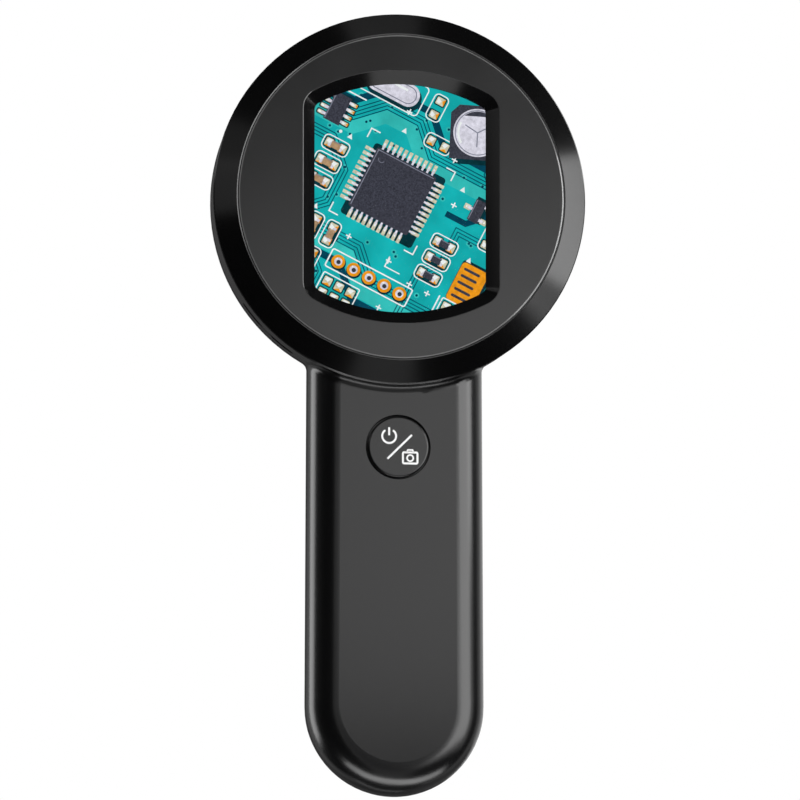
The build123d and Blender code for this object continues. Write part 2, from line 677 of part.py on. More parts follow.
def contact_hood():
    mouth = HEAD_DEPTH + HOOD_REACH
    return turned(
        (HOOD_BASE_BORE, HOOD_BASE), (HOOD_RADIUS, HOOD_BASE), (HOOD_RADIUS, mouth - 0.5),
        (HOOD_RADIUS - 0.5, mouth), (HOOD_BORE, mouth), (HOOD_BORE, HOOD_STEP),
        (HOOD_BASE_BORE, HOOD_STEP),
    )


# ---- Write one file per node ----
NODES = [
    front_housing, rear_cover, housing_screws, bezel_ring, face_plate, display_window,
    window_gasket, lcd_panel, backlight_frame, display_flex, display_bracket, main_board,
    processor_chip, memory_chip, power_parts, card_socket, usb_shell, usb_tongue, board_screws,
    button_cap, switch_plunger, switch_body, button_board, button_flex, battery_cell, battery_pad,
    battery_plug, battery_leads, image_sensor, sensor_glass, lens_guide, guide_screws, lens_cell,
    guide_pegs, front_lens, rear_lens, lens_retainer, cam_sleeve, focus_grip, drag_ring,
    led_carrier, led_board, leds, led_pins, light_diffuser, contact_hood,
]

os.makedirs("parts", exist_ok=True)
for node in NODES:
    export_step(node(), f"parts/{node.__name__}.step")
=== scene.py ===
import json
import random
from functools import cache
from math import atan2, cos, hypot, pi, radians, sin, sqrt, tau

import bmesh
import bpy
from bpy.props import FloatProperty, FloatVectorProperty, PointerProperty
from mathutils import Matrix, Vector

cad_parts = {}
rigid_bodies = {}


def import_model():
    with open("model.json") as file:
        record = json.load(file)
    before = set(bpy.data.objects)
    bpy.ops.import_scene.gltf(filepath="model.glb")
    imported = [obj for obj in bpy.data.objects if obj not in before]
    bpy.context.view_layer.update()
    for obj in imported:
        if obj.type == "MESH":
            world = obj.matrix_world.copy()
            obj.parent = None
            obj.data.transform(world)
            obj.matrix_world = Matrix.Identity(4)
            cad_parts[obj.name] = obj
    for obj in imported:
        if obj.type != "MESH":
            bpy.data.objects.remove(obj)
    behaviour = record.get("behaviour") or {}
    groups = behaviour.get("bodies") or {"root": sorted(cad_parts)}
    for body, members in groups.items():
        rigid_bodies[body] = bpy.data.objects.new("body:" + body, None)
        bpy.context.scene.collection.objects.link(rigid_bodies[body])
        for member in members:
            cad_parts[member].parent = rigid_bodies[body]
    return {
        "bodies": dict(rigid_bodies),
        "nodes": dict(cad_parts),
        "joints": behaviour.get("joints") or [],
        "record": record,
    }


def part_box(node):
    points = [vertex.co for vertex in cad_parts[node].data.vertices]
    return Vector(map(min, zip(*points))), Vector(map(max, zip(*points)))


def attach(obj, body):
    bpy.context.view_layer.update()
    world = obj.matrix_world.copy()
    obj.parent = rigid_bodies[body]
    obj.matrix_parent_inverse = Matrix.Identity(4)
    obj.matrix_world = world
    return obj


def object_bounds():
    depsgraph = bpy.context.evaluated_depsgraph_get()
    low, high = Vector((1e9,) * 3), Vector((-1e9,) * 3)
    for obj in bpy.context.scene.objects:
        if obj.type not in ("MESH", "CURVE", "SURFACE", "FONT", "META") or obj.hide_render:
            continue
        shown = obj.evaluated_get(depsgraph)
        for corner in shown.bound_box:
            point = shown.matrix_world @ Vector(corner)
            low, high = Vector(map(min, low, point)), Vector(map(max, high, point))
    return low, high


bl_info = {
    "name": "Handheld Digital Microscope",
    "version": (1, 0, 0),
    "blender": (4, 5, 0),
    "location": "View3D > Sidebar > Microscope",
    "description": "Finishes a handheld display microscope and sets up its studio",
    "category": "Object",
}

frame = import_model()
NODES = frame["nodes"]
CAD_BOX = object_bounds()
MM = 0.001

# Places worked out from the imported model, in metres
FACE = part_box("face_plate")[0].y
PANEL_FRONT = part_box("lcd_panel")[0].y
KEY_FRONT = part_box("button_cap")[0].y
KEY_FLANGE = 6.6 * MM  # radius of the key's collar, whose top is the top of its box
KEY_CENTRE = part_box("button_cap")[1].z - KEY_FLANGE
PLATE_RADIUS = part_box("face_plate")[1].x
FLOOR = CAD_BOX[0].z
OBJECT_CENTRE = (CAD_BOX[0] + CAD_BOX[1]) / 2

# Finishes, with their lengths in metres
PLATE_RECESS_ROUGHNESS = 0.1
GRIP_VALLEY, WEAR_REACH = 18.4 * MM, 0.6 * MM
LED_COUNT, LED_RING, LED_PHOSPHOR = 8, 11.6 * MM, 0.85 * MM
BETWEEN_LEADS = 5.4 * MM
FLAT = 0.01 * MM
# Painted highlights on edges of the face, as lighter base colour: level, distance from the plate's
# rim, depth
BEZEL_PAINTED_HIGHLIGHT = 0.05, 0.33 * MM, 0.3 * MM
RIM_PAINTED_HIGHLIGHT = 0.12, 0.24 * MM, 0.13 * MM
MOUTH_PAINTED_HIGHLIGHT = 0.03, 0.5 * MM, 0.068 * MM

# Thin pieces: depths in metres, widths in millimetres, areas in square millimetres
PICTURE_STEP = 0.013 * MM
PICTURE_THICKNESS = PICTURE_STEP * 0.8
INK_THICKNESS = 0.02 * MM
WELD = 1e-7
SYMBOL_LINE, TRACK_GAP = 0.36, 0.17
SMALLEST_INK = 1e-3
# Picture's half width and height, and radii of its bowed ends and corners, in millimetres
PICTURE_OUTLINE = (15.7, 21.0, 31.0, 1.7)

# Studio: metres, a card's steps in degrees, the sensor's width in millimetres
CARD_RADIUS, CARD_STEP = 1.3, 6.0
FLOOR_SIZE, FLOOR_GAP = 12.0, 0.02 * MM
FLOOR_NEAR, FLOOR_FAR, FLOOR_GLOW = 0.07, 0.28, 0.44
SENSOR_WIDTH = 36.0
CLIP = 0.05, 50.0


# ---- Shader arithmetic ----
def both_ways(operation):
    """Operator method that adds a Math node, and its reflected form."""
    def forward(self, other):
        return self.math(operation, self, other)

    def reflected(self, other):
        return self.math(operation, other, self)
    return forward, reflected


class Signal:
    """Shader socket that adds a Math node when it takes part in arithmetic."""

    __add__, __radd__ = both_ways("ADD")
    __sub__, __rsub__ = both_ways("SUBTRACT")
    __mul__, __rmul__ = both_ways("MULTIPLY")
    __truediv__, __rtruediv__ = both_ways("DIVIDE")
    __gt__, __lt__ = both_ways("GREATER_THAN")

    def __init__(self, graph, socket):
        self.graph = graph
        self.socket = socket

    def math(self, operation, *values):
        return self.graph.node("ShaderNodeMath", {"operation": operation}, dict(enumerate(values)))

    def max(self, other):
        return self.math("MAXIMUM", self, other)

    def root(self):
        return self.math("SQRT", self)

    def wave(self, half):
        """Rises from 0 to half and falls back, over and over."""
        return self.math("PINGPONG", self, half)

    def zigzag(self, half):
        """Same wave, but from 0 to 1."""
        return self.wave(half) / half


class Graph:
    """Node tree of a material or of the world, filled one node at a time."""

    def __init__(self, owner):
        owner.use_nodes = True
        self.tree = owner.node_tree
        self.tree.nodes.clear()

    def node(self, kind, settings=(), inputs=(), output=0):
        """Adds a node, sets it, feeds its sockets and returns one of its outputs, if any."""
        node = self.tree.nodes.new(kind)
        for name, value in dict(settings).items():
            if name == "stops":
                self.set_stops(node.color_ramp, value)
            else:
                setattr(node, name, value)
        for name, value in dict(inputs).items():
            self.feed(node.inputs[name], value)
        return Signal(self, node.outputs[output]) if node.outputs else None

    def feed(self, socket, value):
        if isinstance(value, Signal):
            self.tree.links.new(value.socket, socket)
        elif socket.type == "RGBA":
            socket.default_value = (*value[:3], 1.0)
        else:
            socket.default_value = value

    def set_stops(self, ramp, stops):
        for element, (place, level) in zip(ramp.elements, stops):
            element.position = place
            element.color = (level, level, level, 1.0)

    def place(self):
        """Position in the object's own frame, in metres."""
        return self.node("ShaderNodeTexCoord", output="Object")

    def axes(self):
        place = self.place()
        return [self.node("ShaderNodeSeparateXYZ", (), {0: place}, axis) for axis in range(3)]

    def noise(self, size, detail=3.0, rough=0.5, stretch=(1, 1, 1)):
        """Noise with features of about size millimetres, drawn out where stretch is under 1."""
        drawn_out = {0: self.place(), 1: stretch}
        at = self.node("ShaderNodeVectorMath", {"operation": "MULTIPLY"}, drawn_out)
        return self.node("ShaderNodeTexNoise", (), {
            "Vector": at, "Scale": 1 / (size * MM), "Detail": detail, "Roughness": rough})

    def cells(self, size, output="Distance"):
        """Cells about size millimetres across."""
        return self.node("ShaderNodeTexVoronoi", (), {
            "Vector": self.place(), "Scale": 1 / (size * MM)}, output)

    def ramp(self, value, *stops):
        """Grey level that runs between two (place, level) stops."""
        return self.node("ShaderNodeValToRGB", {"stops": stops}, {0: value})

    def blend(self, share, first, second):
        """Colour between two others."""
        return self.node("ShaderNodeMix", {"data_type": "RGBA"}, {0: share, 6: first, 7: second}, 2)

    def bump(self, height, depth, strength=1.0):
        """Normal of a relief whose depth is in millimetres."""
        return self.node("ShaderNodeBump", (), {
            "Height": height, "Distance": depth * MM, "Strength": strength})

    def surface(self, **sockets):
        """Principled surface; Base_Color stands for Base Color and so on."""
        inputs = {name.replace("_", " "): value for name, value in sockets.items()}
        return self.node("ShaderNodeBsdfPrincipled", (), inputs)

    def emission(self, level):
        return self.node("ShaderNodeEmission", (), {"Color": (1, 1, 1), "Strength": level})

    def transparent(self, tint):
        return self.node("ShaderNodeBsdfTransparent", (), {"Color": tint})

    def mix(self, share, first, second):
        """Shader between two others."""
        return self.node("ShaderNodeMixShader", (), {0: share, 1: first, 2: second})

    def end(self, shader, kind="ShaderNodeOutputMaterial"):
        self.node(kind, (), {"Surface": shader})


# ---- Finishes ----
def finish(draw):
    """Turns a function that draws a surface into one that makes its material once.

    The material is named after the function's first value or, without one, after the function.
    """
    @cache
    def make(*values):
        material = bpy.data.materials.new(values[0] if values else draw.__name__)
        graph = Graph(material)
        graph.end(draw(graph, *values))
        return material
    return make


def shades(colour, spread):
    """A darker and a lighter shade of a colour."""
    return [tuple(channel * (1 + side * spread) for channel in colour) for side in (-1, 1)]


def diagonal(first, second):
    """Distance that two offsets at right angles make up."""
    return (first * first + second * second).root()


def ring_mask(graph, near, far, front, back):
    """1 between two distances from the head's axis and two depths behind the face, 0 elsewhere."""
    x, depth, z = graph.axes()
    reach = diagonal(x, z)
    return (reach > near) * (reach < far) * (depth > FACE + front) * (depth < FACE + back)


def dress(material, *nodes):
    """Gives CAD nodes their finish."""
    for name in nodes:
        mesh = NODES[name].data
        if not mesh.materials:
            mesh.materials.append(material)
        for slot in NODES[name].material_slots:
            slot.material = material


# ---- Plastics ----
# Plain plastics: colour, roughness, size of the grain and its relief in millimetres
PLASTICS = {
    "carrier_black_plastic": ((0.012, 0.012, 0.012), 0.42, 0.1, 0.004),
    "bracket_grey_plastic": ((0.05, 0.05, 0.055), 0.48, 0.12, 0.005),
    "plug_white_plastic": ((0.72, 0.7, 0.64), 0.4, 0.15, 0.003),
    "switch_black_plastic": ((0.015, 0.015, 0.016), 0.35, 0.08, 0.003),
    "backlight_white_plastic": ((0.78, 0.78, 0.77), 0.45, 0.2, 0.003),
    "chip_epoxy_package": ((0.014, 0.014, 0.015), 0.55, 0.06, 0.006),
}


def moulded(graph, colour, roughness, grain, relief, smear=0.05, edge=None):
    """Plastic with a spark-eroded grain, a faint flow in its gloss and perhaps a painted highlight:
    a lighter base colour along an edge.
    """
    fine = graph.noise(grain, 4.0, 0.6)
    flow = graph.noise(14, 2.0, 0.5, (1, 1, 0.35))
    tone = graph.blend(flow, *shades(colour, 0.12))
    # edge holds a painted highlight: its level and the mask where the base colour turns lighter
    if edge:
        level, mask = edge
        tone = graph.blend(mask, tone, (level, level, level))
    return graph.surface(
        Base_Color=tone, Roughness=roughness + smear * (flow - 0.5) + 0.06 * (fine - 0.5),
        Normal=graph.bump(fine, relief))


@finish
def plain_plastic(graph, name):
    return moulded(graph, *PLASTICS[name])


@finish
def casing_satin_plastic(graph):
    looks = bpy.context.scene.microscope_casing
    return moulded(graph, looks.plastic, looks.casing_roughness, 0.09, 0.0022)


@finish
def key_satin_plastic(graph):
    looks = bpy.context.scene.microscope_casing
    return moulded(graph, looks.plastic, looks.casing_roughness + 0.03, 0.07, 0.002)


@finish
def bezel_polished_plastic(graph):
    looks = bpy.context.scene.microscope_casing
    level, reach, depth = BEZEL_PAINTED_HIGHLIGHT
    # Painted highlight: a lighter ring of base colour just outside the plate's rim
    line = ring_mask(graph, PLATE_RADIUS, PLATE_RADIUS + reach, 0, depth)
    return moulded(graph, looks.bezel, looks.bezel_roughness, 0.3, 0.0012, 0.03, (level, line))


@finish
def plate_matt_plastic(graph):
    """Matt plate with a fine leather-like etch and painted highlights: lighter base colour along
    its rim and the window's mouth.
    """
    looks = bpy.context.scene.microscope_casing
    etch = graph.cells(0.16)
    haze = graph.noise(9, 3.0)
    _, y, _ = graph.axes()
    front = y < FACE + FLAT
    matt = looks.plate_roughness + 0.08 * (haze - 0.5)
    # Painted highlights: lighter base colour on the plate's rim and on the mouth of the window
    # recess
    level, reach, depth = RIM_PAINTED_HIGHLIGHT
    light = level * ring_mask(graph, PLATE_RADIUS - reach, PLATE_RADIUS + reach, FLAT, depth)
    level, reach, depth = MOUTH_PAINTED_HIGHLIGHT
    light = light + level * ring_mask(graph, 0, PLATE_RADIUS - reach, FLAT, depth)
    return graph.surface(
        Base_Color=graph.blend(light, graph.blend(haze, *shades(looks.plate, 0.1)), (1, 1, 1)),
        Roughness=PLATE_RECESS_ROUGHNESS + (matt - PLATE_RECESS_ROUGHNESS) * front,
        Normal=graph.bump(etch * front, 0.003))


@finish
def grip_soft_touch(graph):
    """Soft-touch grip whose flutes are rubbed shinier on their crests."""
    looks = bpy.context.scene.microscope_casing
    grain = graph.noise(0.12, 4.0, 0.65)
    x, _, z = graph.axes()
    crest = graph.ramp((diagonal(x, z) - GRIP_VALLEY) / WEAR_REACH, (0.0, 0.0), (1.0, 1.0))
    return graph.surface(
        Base_Color=graph.blend(crest, *shades(looks.plastic, 0.35)),
        Roughness=0.52 - 0.14 * crest + 0.1 * (grain - 0.5),
        Normal=graph.bump(grain, 0.006))


@finish
def optics_matt_plastic(graph):
    """Dead black plastic with turned anti-glare grooves round the optical axis."""
    _, y, _ = graph.axes()
    speckle = graph.noise(0.1, 3.0)
    return graph.surface(
        Base_Color=graph.blend(speckle, (0.004, 0.004, 0.004), (0.012, 0.012, 0.013)),
        Roughness=0.5 + 0.12 * speckle,
        Normal=graph.bump(y.zigzag(0.14 * MM), 0.042, 0.5))


@finish
def diffuser_milky_plastic(graph):
    """Milky diffuser that lets the lamps behind it show as soft spots."""
    cloud = graph.noise(1.6, 2.0)
    frost = graph.noise(0.12, 2.0)
    return graph.surface(
        Base_Color=graph.blend(cloud, (0.80, 0.81, 0.80), (0.88, 0.88, 0.86)),
        Roughness=0.38 + 0.1 * frost,
        Alpha=0.30 + 0.06 * cloud,
        Normal=graph.bump(frost, 0.004))


# ---- Clear parts ----
@finish
def window_coated_glass(graph):
    """Display window with an anti-reflection coating, so its surface shines little."""
    smear = graph.noise(5, 3.0, 0.6)
    shine = graph.node("ShaderNodeFresnel", (), {"IOR": 1.18})
    skin = graph.surface(Base_Color=(0.004, 0.004, 0.006), Roughness=0.03 + 0.05 * smear)
    return graph.mix(shine, graph.transparent((0.99, 0.99, 0.99)), skin)


@finish
def hood_clear_plastic(graph):
    """Clear moulded hood; its walls look denser towards their edges."""
    edge = graph.node("ShaderNodeLayerWeight", (), {"Blend": 0.35}, "Facing")
    flow = graph.noise(3, 2.0, 0.5, (1, 3, 1))
    skin = graph.surface(
        Base_Color=(0.62, 0.68, 0.70), Roughness=0.06 + 0.05 * flow, Coat_Weight=0.3,
        Normal=graph.bump(flow, 0.02, 0.4))
    return graph.mix(0.16 + 0.62 * edge * edge, graph.transparent((0.93, 0.96, 0.97)), skin)


@finish
def lens_coated_glass(graph):
    """Optical glass with a violet coating that shows at an angle."""
    rim = graph.node("ShaderNodeLayerWeight", (), {"Blend": 0.4}, "Facing")
    dust = graph.noise(0.6, 2.0)
    return graph.surface(
        Base_Color=graph.blend(rim, (0.90, 0.95, 1.0), (0.55, 0.42, 0.95)),
        Roughness=0.01 + 0.02 * dust, IOR=1.6, Transmission_Weight=1.0,
        Coat_Weight=0.25 + 0.1 * dust)


# ---- Metals ----
# Metals: colour, roughness, width of the drawn lines, how they are drawn out, and their relief
METALS = {
    "screw_black_oxide": ((0.06, 0.06, 0.065), 0.36, 0.1, (1, 0.2, 1), 0.003),
    "socket_nickel_plate": ((0.62, 0.61, 0.58), 0.26, 0.08, (0.25, 1, 0.25), 0.002),
    "peg_ground_steel": ((0.66, 0.66, 0.67), 0.22, 0.05, (0.1, 1, 1), 0.002),
    "pin_gilt_brass": ((0.83, 0.60, 0.24), 0.24, 0.06, (1, 0.2, 1), 0.001),
    "retainer_black_anodised": ((0.03, 0.03, 0.032), 0.42, 0.05, (1, 1, 1), 0.003),
}


@finish
def metal(graph, name):
    """Metal with drawn or turned lines in its surface."""
    colour, roughness, lines, stretch, relief = METALS[name]
    drawn = graph.noise(lines, 3.0, 0.6, stretch)
    stain = graph.noise(1.8, 2.0)
    return graph.surface(
        Base_Color=graph.blend(stain, *shades(colour, 0.14)), Metallic=0.92 + 0.08 * stain,
        Roughness=roughness + 0.16 * (drawn - 0.5), Normal=graph.bump(drawn, relief))


@finish
def cell_creased_foil(graph):
    """Battery pouch: creased aluminium laminate."""
    crease = graph.noise(4, 5.0, 0.55)
    fine = graph.noise(0.3, 2.0)
    return graph.surface(
        Base_Color=graph.blend(crease, (0.56, 0.57, 0.59), (0.74, 0.75, 0.76)),
        Metallic=0.8 + 0.15 * fine, Roughness=0.34 + 0.2 * crease,
        Normal=graph.bump(crease, 0.12))


# ---- Circuit parts ----
# Circuit boards: colour of the mask, of the copper, pitch of the tracks, and whether they are rings
BOARDS = {
    "board_green_mask": ((0.006, 0.10, 0.035), (0.75, 0.52, 0.18), 0.8, False),
    "board_white_mask": ((0.74, 0.75, 0.74), (0.80, 0.62, 0.28), 0.7, True),
}


@finish
def circuit(graph, name):
    """Solder mask over parallel tracks, with bends or in rings, which stand a little proud."""
    mask, copper, pitch, ringed = BOARDS[name]
    half = pitch * MM / 2
    x, _, z = graph.axes()
    across = diagonal(x, z) if ringed else x + z.wave(8 * half)
    tracks = graph.ramp(across.zigzag(half), (0.45, 0.0), (0.6, 1.0))
    holes = graph.ramp(graph.cells(2.2), (0.10, 1.0), (0.13, 0.0))
    weave = graph.noise(0.25, 2.0)
    raised = tuple(min(0.86, 1.6 * channel) for channel in mask)
    return graph.surface(
        Base_Color=graph.blend(holes, graph.blend(tracks, mask, raised), copper),
        Metallic=0.9 * holes, Roughness=0.24 + 0.12 * weave,
        Normal=graph.bump(tracks + 0.2 * weave, 0.03))


@finish
def flex_amber_film(graph):
    """Amber film with straight copper tracks."""
    x, _, _ = graph.axes()
    tracks = graph.ramp(x.zigzag(0.25 * MM), (0.35, 0.0), (0.5, 1.0))
    haze = graph.noise(2, 2.0)
    return graph.surface(
        Base_Color=graph.blend(tracks, (0.30, 0.12, 0.015), (0.55, 0.27, 0.05)),
        Roughness=0.28 + 0.1 * haze, Normal=graph.bump(tracks, 0.02))


@finish
def components_ceramic(graph):
    """Ferrite and ceramic bodies of the small components."""
    kind = graph.cells(4, "Color")
    speckle = graph.noise(0.1, 2.0)
    pick = graph.node("ShaderNodeSeparateColor", (), {0: kind})
    return graph.surface(
        Base_Color=graph.blend(pick, (0.05, 0.045, 0.045), (0.42, 0.33, 0.24)),
        Roughness=0.4 + 0.2 * speckle, Normal=graph.bump(speckle, 0.008))


@finish
def lamp_white_package(graph):
    """White lamp package with a round yellow phosphor in its middle."""
    x, _, z = graph.axes()
    turn = graph.node("ShaderNodeMath", {"operation": "ARCTAN2"}, {0: z, 1: x})
    half_step = tau / LED_COUNT / 2
    across = (turn.wave(half_step) - half_step) * LED_RING
    phosphor = diagonal(diagonal(x, z) - LED_RING, across) < LED_PHOSPHOR
    grain = graph.noise(0.15, 2.0)
    return graph.surface(
        Base_Color=graph.blend(phosphor, (0.82, 0.82, 0.80), (0.86, 0.62, 0.06)),
        Roughness=0.3 + 0.15 * grain, Normal=graph.bump(grain, 0.01))


@finish
def lead_insulation(graph):
    """Insulated wires, one of them red and one black."""
    x, _, _ = graph.axes()
    bloom = graph.noise(0.8, 3.0)
    return graph.surface(
        Base_Color=graph.blend(x > BETWEEN_LEADS, (0.015, 0.015, 0.015), (0.42, 0.02, 0.02)),
        Roughness=0.42 + 0.15 * bloom, Normal=graph.bump(bloom, 0.02))


@finish
def gasket_black_foam(graph):
    """Closed-cell foam."""
    pores = graph.cells(0.22)
    return graph.surface(
        Base_Color=graph.blend(pores, (0.006, 0.006, 0.006), (0.022, 0.022, 0.022)),
        Roughness=0.75 + 0.15 * pores, Normal=graph.bump(pores, 0.05))


@finish
def drag_grey_felt(graph):
    """Dense wool felt."""
    fibre = graph.noise(0.35, 6.0, 0.75, (1, 3, 1))
    return graph.surface(
        Base_Color=graph.blend(fibre, (0.09, 0.09, 0.10), (0.30, 0.30, 0.31)),
        Roughness=0.85 + 0.1 * fibre, Sheen_Weight=0.4, Normal=graph.bump(fibre, 0.08))


@finish
def panel_polariser(graph):
    """Dark polariser of the display, with a trace of its pixel columns."""
    x, _, _ = graph.axes()
    columns = x.zigzag(0.064 * MM)
    haze = graph.noise(6, 2.0)
    return graph.surface(
        Base_Color=graph.blend(columns, (0.004, 0.006, 0.008), (0.010, 0.013, 0.016)),
        Roughness=0.16 + 0.05 * haze)


@finish
def key_white_ink(graph):
    """White pad-printed ink with a slightly uneven body."""
    body = graph.noise(0.12, 3.0)
    return graph.surface(
        Base_Color=graph.blend(body, (0.74, 0.74, 0.74), (0.90, 0.90, 0.90)),
        Roughness=0.4 + 0.15 * body, Normal=graph.bump(body, 0.01))


@finish
def lit(graph, _name, colour, spread, drift, level):
    """Part of the lit picture, its colour drifting a little."""
    cloud = graph.noise(drift, 3.0, 0.6)
    drifted = graph.ramp(cloud, (0.3, 0.0), (0.7, 1.0))
    return graph.surface(
        Base_Color=(0, 0, 0), Roughness=1.0, Specular_IOR_Level=0.0,
        Emission_Color=graph.blend(drifted, *shades(colour, spread)), Emission_Strength=level)


@finish
def card_paint(graph, _name, level):
    return graph.emission(level)


@finish
def studio_white_floor(graph):
    """White floor that keeps the shadow, runs out into plain white and is clear from below."""
    x, y, _ = graph.axes()
    far = graph.ramp(diagonal(x, y), (FLOOR_NEAR, 0.0), (FLOOR_FAR, 1.0))
    camera = graph.node("ShaderNodeLightPath", output="Is Camera Ray")
    below = graph.node("ShaderNodeNewGeometry", output="Backfacing")
    dull = graph.node("ShaderNodeBsdfDiffuse", (), {"Color": (0.8, 0.8, 0.8)})
    lifted = graph.node("ShaderNodeAddShader", (), {0: dull, 1: graph.emission(FLOOR_GLOW)})
    top = graph.mix(camera, dull, graph.mix(far, lifted, graph.emission(1.0)))
    return graph.mix(below, top, graph.transparent((1, 1, 1)))


# ---- Flat outlines, in millimetres: x to the right and z up as seen from the front ----
def arc(x, z, radius, start, end, steps):
    """Points on an arc between two angles in radians."""
    turns = [start + (end - start) * step / steps for step in range(steps + 1)]
    return [(x + radius * cos(turn), z + radius * sin(turn)) for turn in turns]


def disc(x, z, radius, steps=28):
    return arc(x, z, radius, 0, tau, steps)[:-1]


def box(x, z, width, height):
    half, rise = width / 2, height / 2
    return [(x - half, z - rise), (x + half, z - rise), (x + half, z + rise), (x - half, z + rise)]


def rounded(x, z, width, height, corner, steps=4):
    """Box with round corners, anticlockwise from its lower right."""
    across, up = width / 2 - corner, height / 2 - corner
    outline = []
    for quarter, (side, level) in enumerate([(1, -1), (1, 1), (-1, 1), (-1, -1)]):
        start = (quarter - 1) * pi / 2
        outline += arc(x + side * across, z + level * up, corner, start, start + pi / 2, steps)
    return outline


def offset(points, distance, closed=False):
    """Line beside another at an even distance to its left, with mitred corners."""
    line = []
    for index, (x, z) in enumerate(points):
        before = points[index - 1] if index or closed else None
        after = points[(index + 1) % len(points)] if index + 1 < len(points) or closed else None
        ways = []
        for start, end in ((before, (x, z)), ((x, z), after)):
            if start and end:
                length = hypot(end[0] - start[0], end[1] - start[1])
                ways.append(((end[0] - start[0]) / length, (end[1] - start[1]) / length))
        across = [sum(-way[1] for way in ways), sum(way[0] for way in ways)]
        scale = distance * len(ways) / (across[0] ** 2 + across[1] ** 2)
        line.append((x + across[0] * scale, z + across[1] * scale))
    return line


def stroke(points, width):
    """Outline of an open line of even width."""
    return offset(points, width / 2) + offset(points, -width / 2)[::-1]


def band(points, width, closed=True):
    """Quads along a line of even width."""
    right, left = offset(points, -width / 2, closed), offset(points, width / 2, closed)
    count = len(points)
    ends = [(step, (step + 1) % count) for step in range(count if closed else count - 1)]
    return [[right[here], right[after], left[after], left[here]] for here, after in ends]


def moved(outline, x, z, turn=0.0):
    """Outline turned about its own origin and then shifted."""
    c, s = cos(turn), sin(turn)
    return [(x + c * u - s * v, z + s * u + c * v) for u, v in outline]


def area(outline):
    """Area of an outline, under 0 where it runs clockwise."""
    pairs = zip(outline, outline[1:] + outline[:1])
    return sum(a[0] * b[1] - b[0] * a[1] for a, b in pairs) / 2


def clipped(outline, border):
    """Part of an outline inside a convex anticlockwise border."""
    for start, end in zip(border, border[1:] + border[:1]):
        def depth(point):
            return ((end[0] - start[0]) * (point[1] - start[1])
                    - (end[1] - start[1]) * (point[0] - start[0]))
        kept = []
        for here, after in zip(outline, outline[1:] + outline[:1]):
            inside, next_inside = depth(here), depth(after)
            if inside >= 0:
                kept.append(here)
            if (inside >= 0) != (next_inside >= 0):
                share = inside / (inside - next_inside)
                kept.append(tuple(a + (b - a) * share for a, b in zip(here, after)))
        outline = kept
        if len(outline) < 3:
            return []
    return outline


def row(count, pitch):
    """Evenly spaced places about 0."""
    return [(step - (count - 1) / 2) * pitch for step in range(count)]


def plates(name, outlines, front, back, material, body):
    """Closed thin plates between two depths in metres, one for each outline or strip of quads."""
    shape = bmesh.new()
    for outline in outlines:
        shape.faces.new([shape.verts.new((x * MM, front, z * MM)) for x, z in outline])
    bmesh.ops.remove_doubles(shape, verts=shape.verts, dist=WELD)
    grown = bmesh.ops.extrude_face_region(shape, geom=list(shape.faces))
    corners = [part for part in grown["geom"] if isinstance(part, bmesh.types.BMVert)]
    bmesh.ops.translate(shape, verts=corners, vec=(0, back - front, 0))
    bmesh.ops.recalc_face_normals(shape, faces=shape.faces)
    piece = add_object(name, shaped(name, shape, material))
    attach(piece, body)


def shaped(name, shape, material):
    """Mesh made from a bmesh, which is freed."""
    mesh = bpy.data.meshes.new(name)
    shape.to_mesh(mesh)
    shape.free()
    mesh.materials.append(material)
    return mesh


def add_object(name, data):
    thing = bpy.data.objects.new(name, data)
    bpy.context.scene.collection.objects.link(thing)
    return thing


# ---- Key symbols, about their own middles ----
def power_symbol():
    """Ring open at the top with a bar in the gap."""
    gap = radians(33)
    ring = arc(0, 0, 1.25, pi / 2 + gap, pi / 2 - gap + tau, 30)
    return [stroke(ring, SYMBOL_LINE), stroke([(0, 0.15), (0, 1.6)], SYMBOL_LINE)]


def camera_symbol():
    """Outline of a camera with its hump and lens."""
    hump = [(-0.62, 1.02), (-0.42, 1.42), (0.42, 1.42), (0.62, 1.02)]
    body, lens = rounded(0, -0.03, 2.62, 2.0, 0.22), disc(0, -0.05, 0.56, 24)
    fine = SYMBOL_LINE * 0.8
    return band(body, SYMBOL_LINE) + band(hump, fine, closed=False) + band(lens, fine)


# Symbols: name, middle from the key's centre in millimetres, outlines
SYMBOLS = [
    ("key_symbol_power", (-1.69, 1.9), power_symbol()),
    ("key_symbol_slash", (0, 0), [stroke([(-1.99, -2.2), (2.41, 2.17)], SYMBOL_LINE)]),
    ("key_symbol_camera", (2.11, -1.97), camera_symbol()),
]


# ---- Circuit board shown on the screen ----
def window_outline(half_width, half_height, bow, corner):
    """Upright outline with straight sides, bowed ends and round corners."""
    middle = half_height - bow
    rise = middle + sqrt((bow - corner) ** 2 - (half_width - corner) ** 2)
    turn = atan2(rise - middle, half_width - corner)
    top_right = arc(half_width - corner, rise, corner, 0, turn, 6)
    top = arc(0, middle, bow, turn, pi - turn, 18)[1:-1]
    upper = top_right + top + [(-x, z) for x, z in reversed(top_right)]
    return upper + [(-x, -z) for x, z in upper]


# Layers of the picture from the back: name, colour property, spread of its shades, drift in mm
INKS = [
    ("mask", "mask", 0.22, 8.0), ("pour", "pour", 0.16, 5.0), ("gaps", "gap", 0.3, 3.0),
    ("shade", "shade", 0.3, 2.0), ("pads", "pad", 0.25, 0.5), ("rings", "copper", 0.2, 0.9),
    ("print", "silkscreen", 0.08, 1.0), ("bodies", "package", 0.45, 0.22),
    ("ceramic", "ceramic", 0.3, 0.8), ("tin", "tin", 0.22, 0.9), ("pits", "package", 0.4, 0.5),
    ("edges", "edge", 0.2, 1.0), ("glints", "silkscreen", 0.04, 1.0),
]


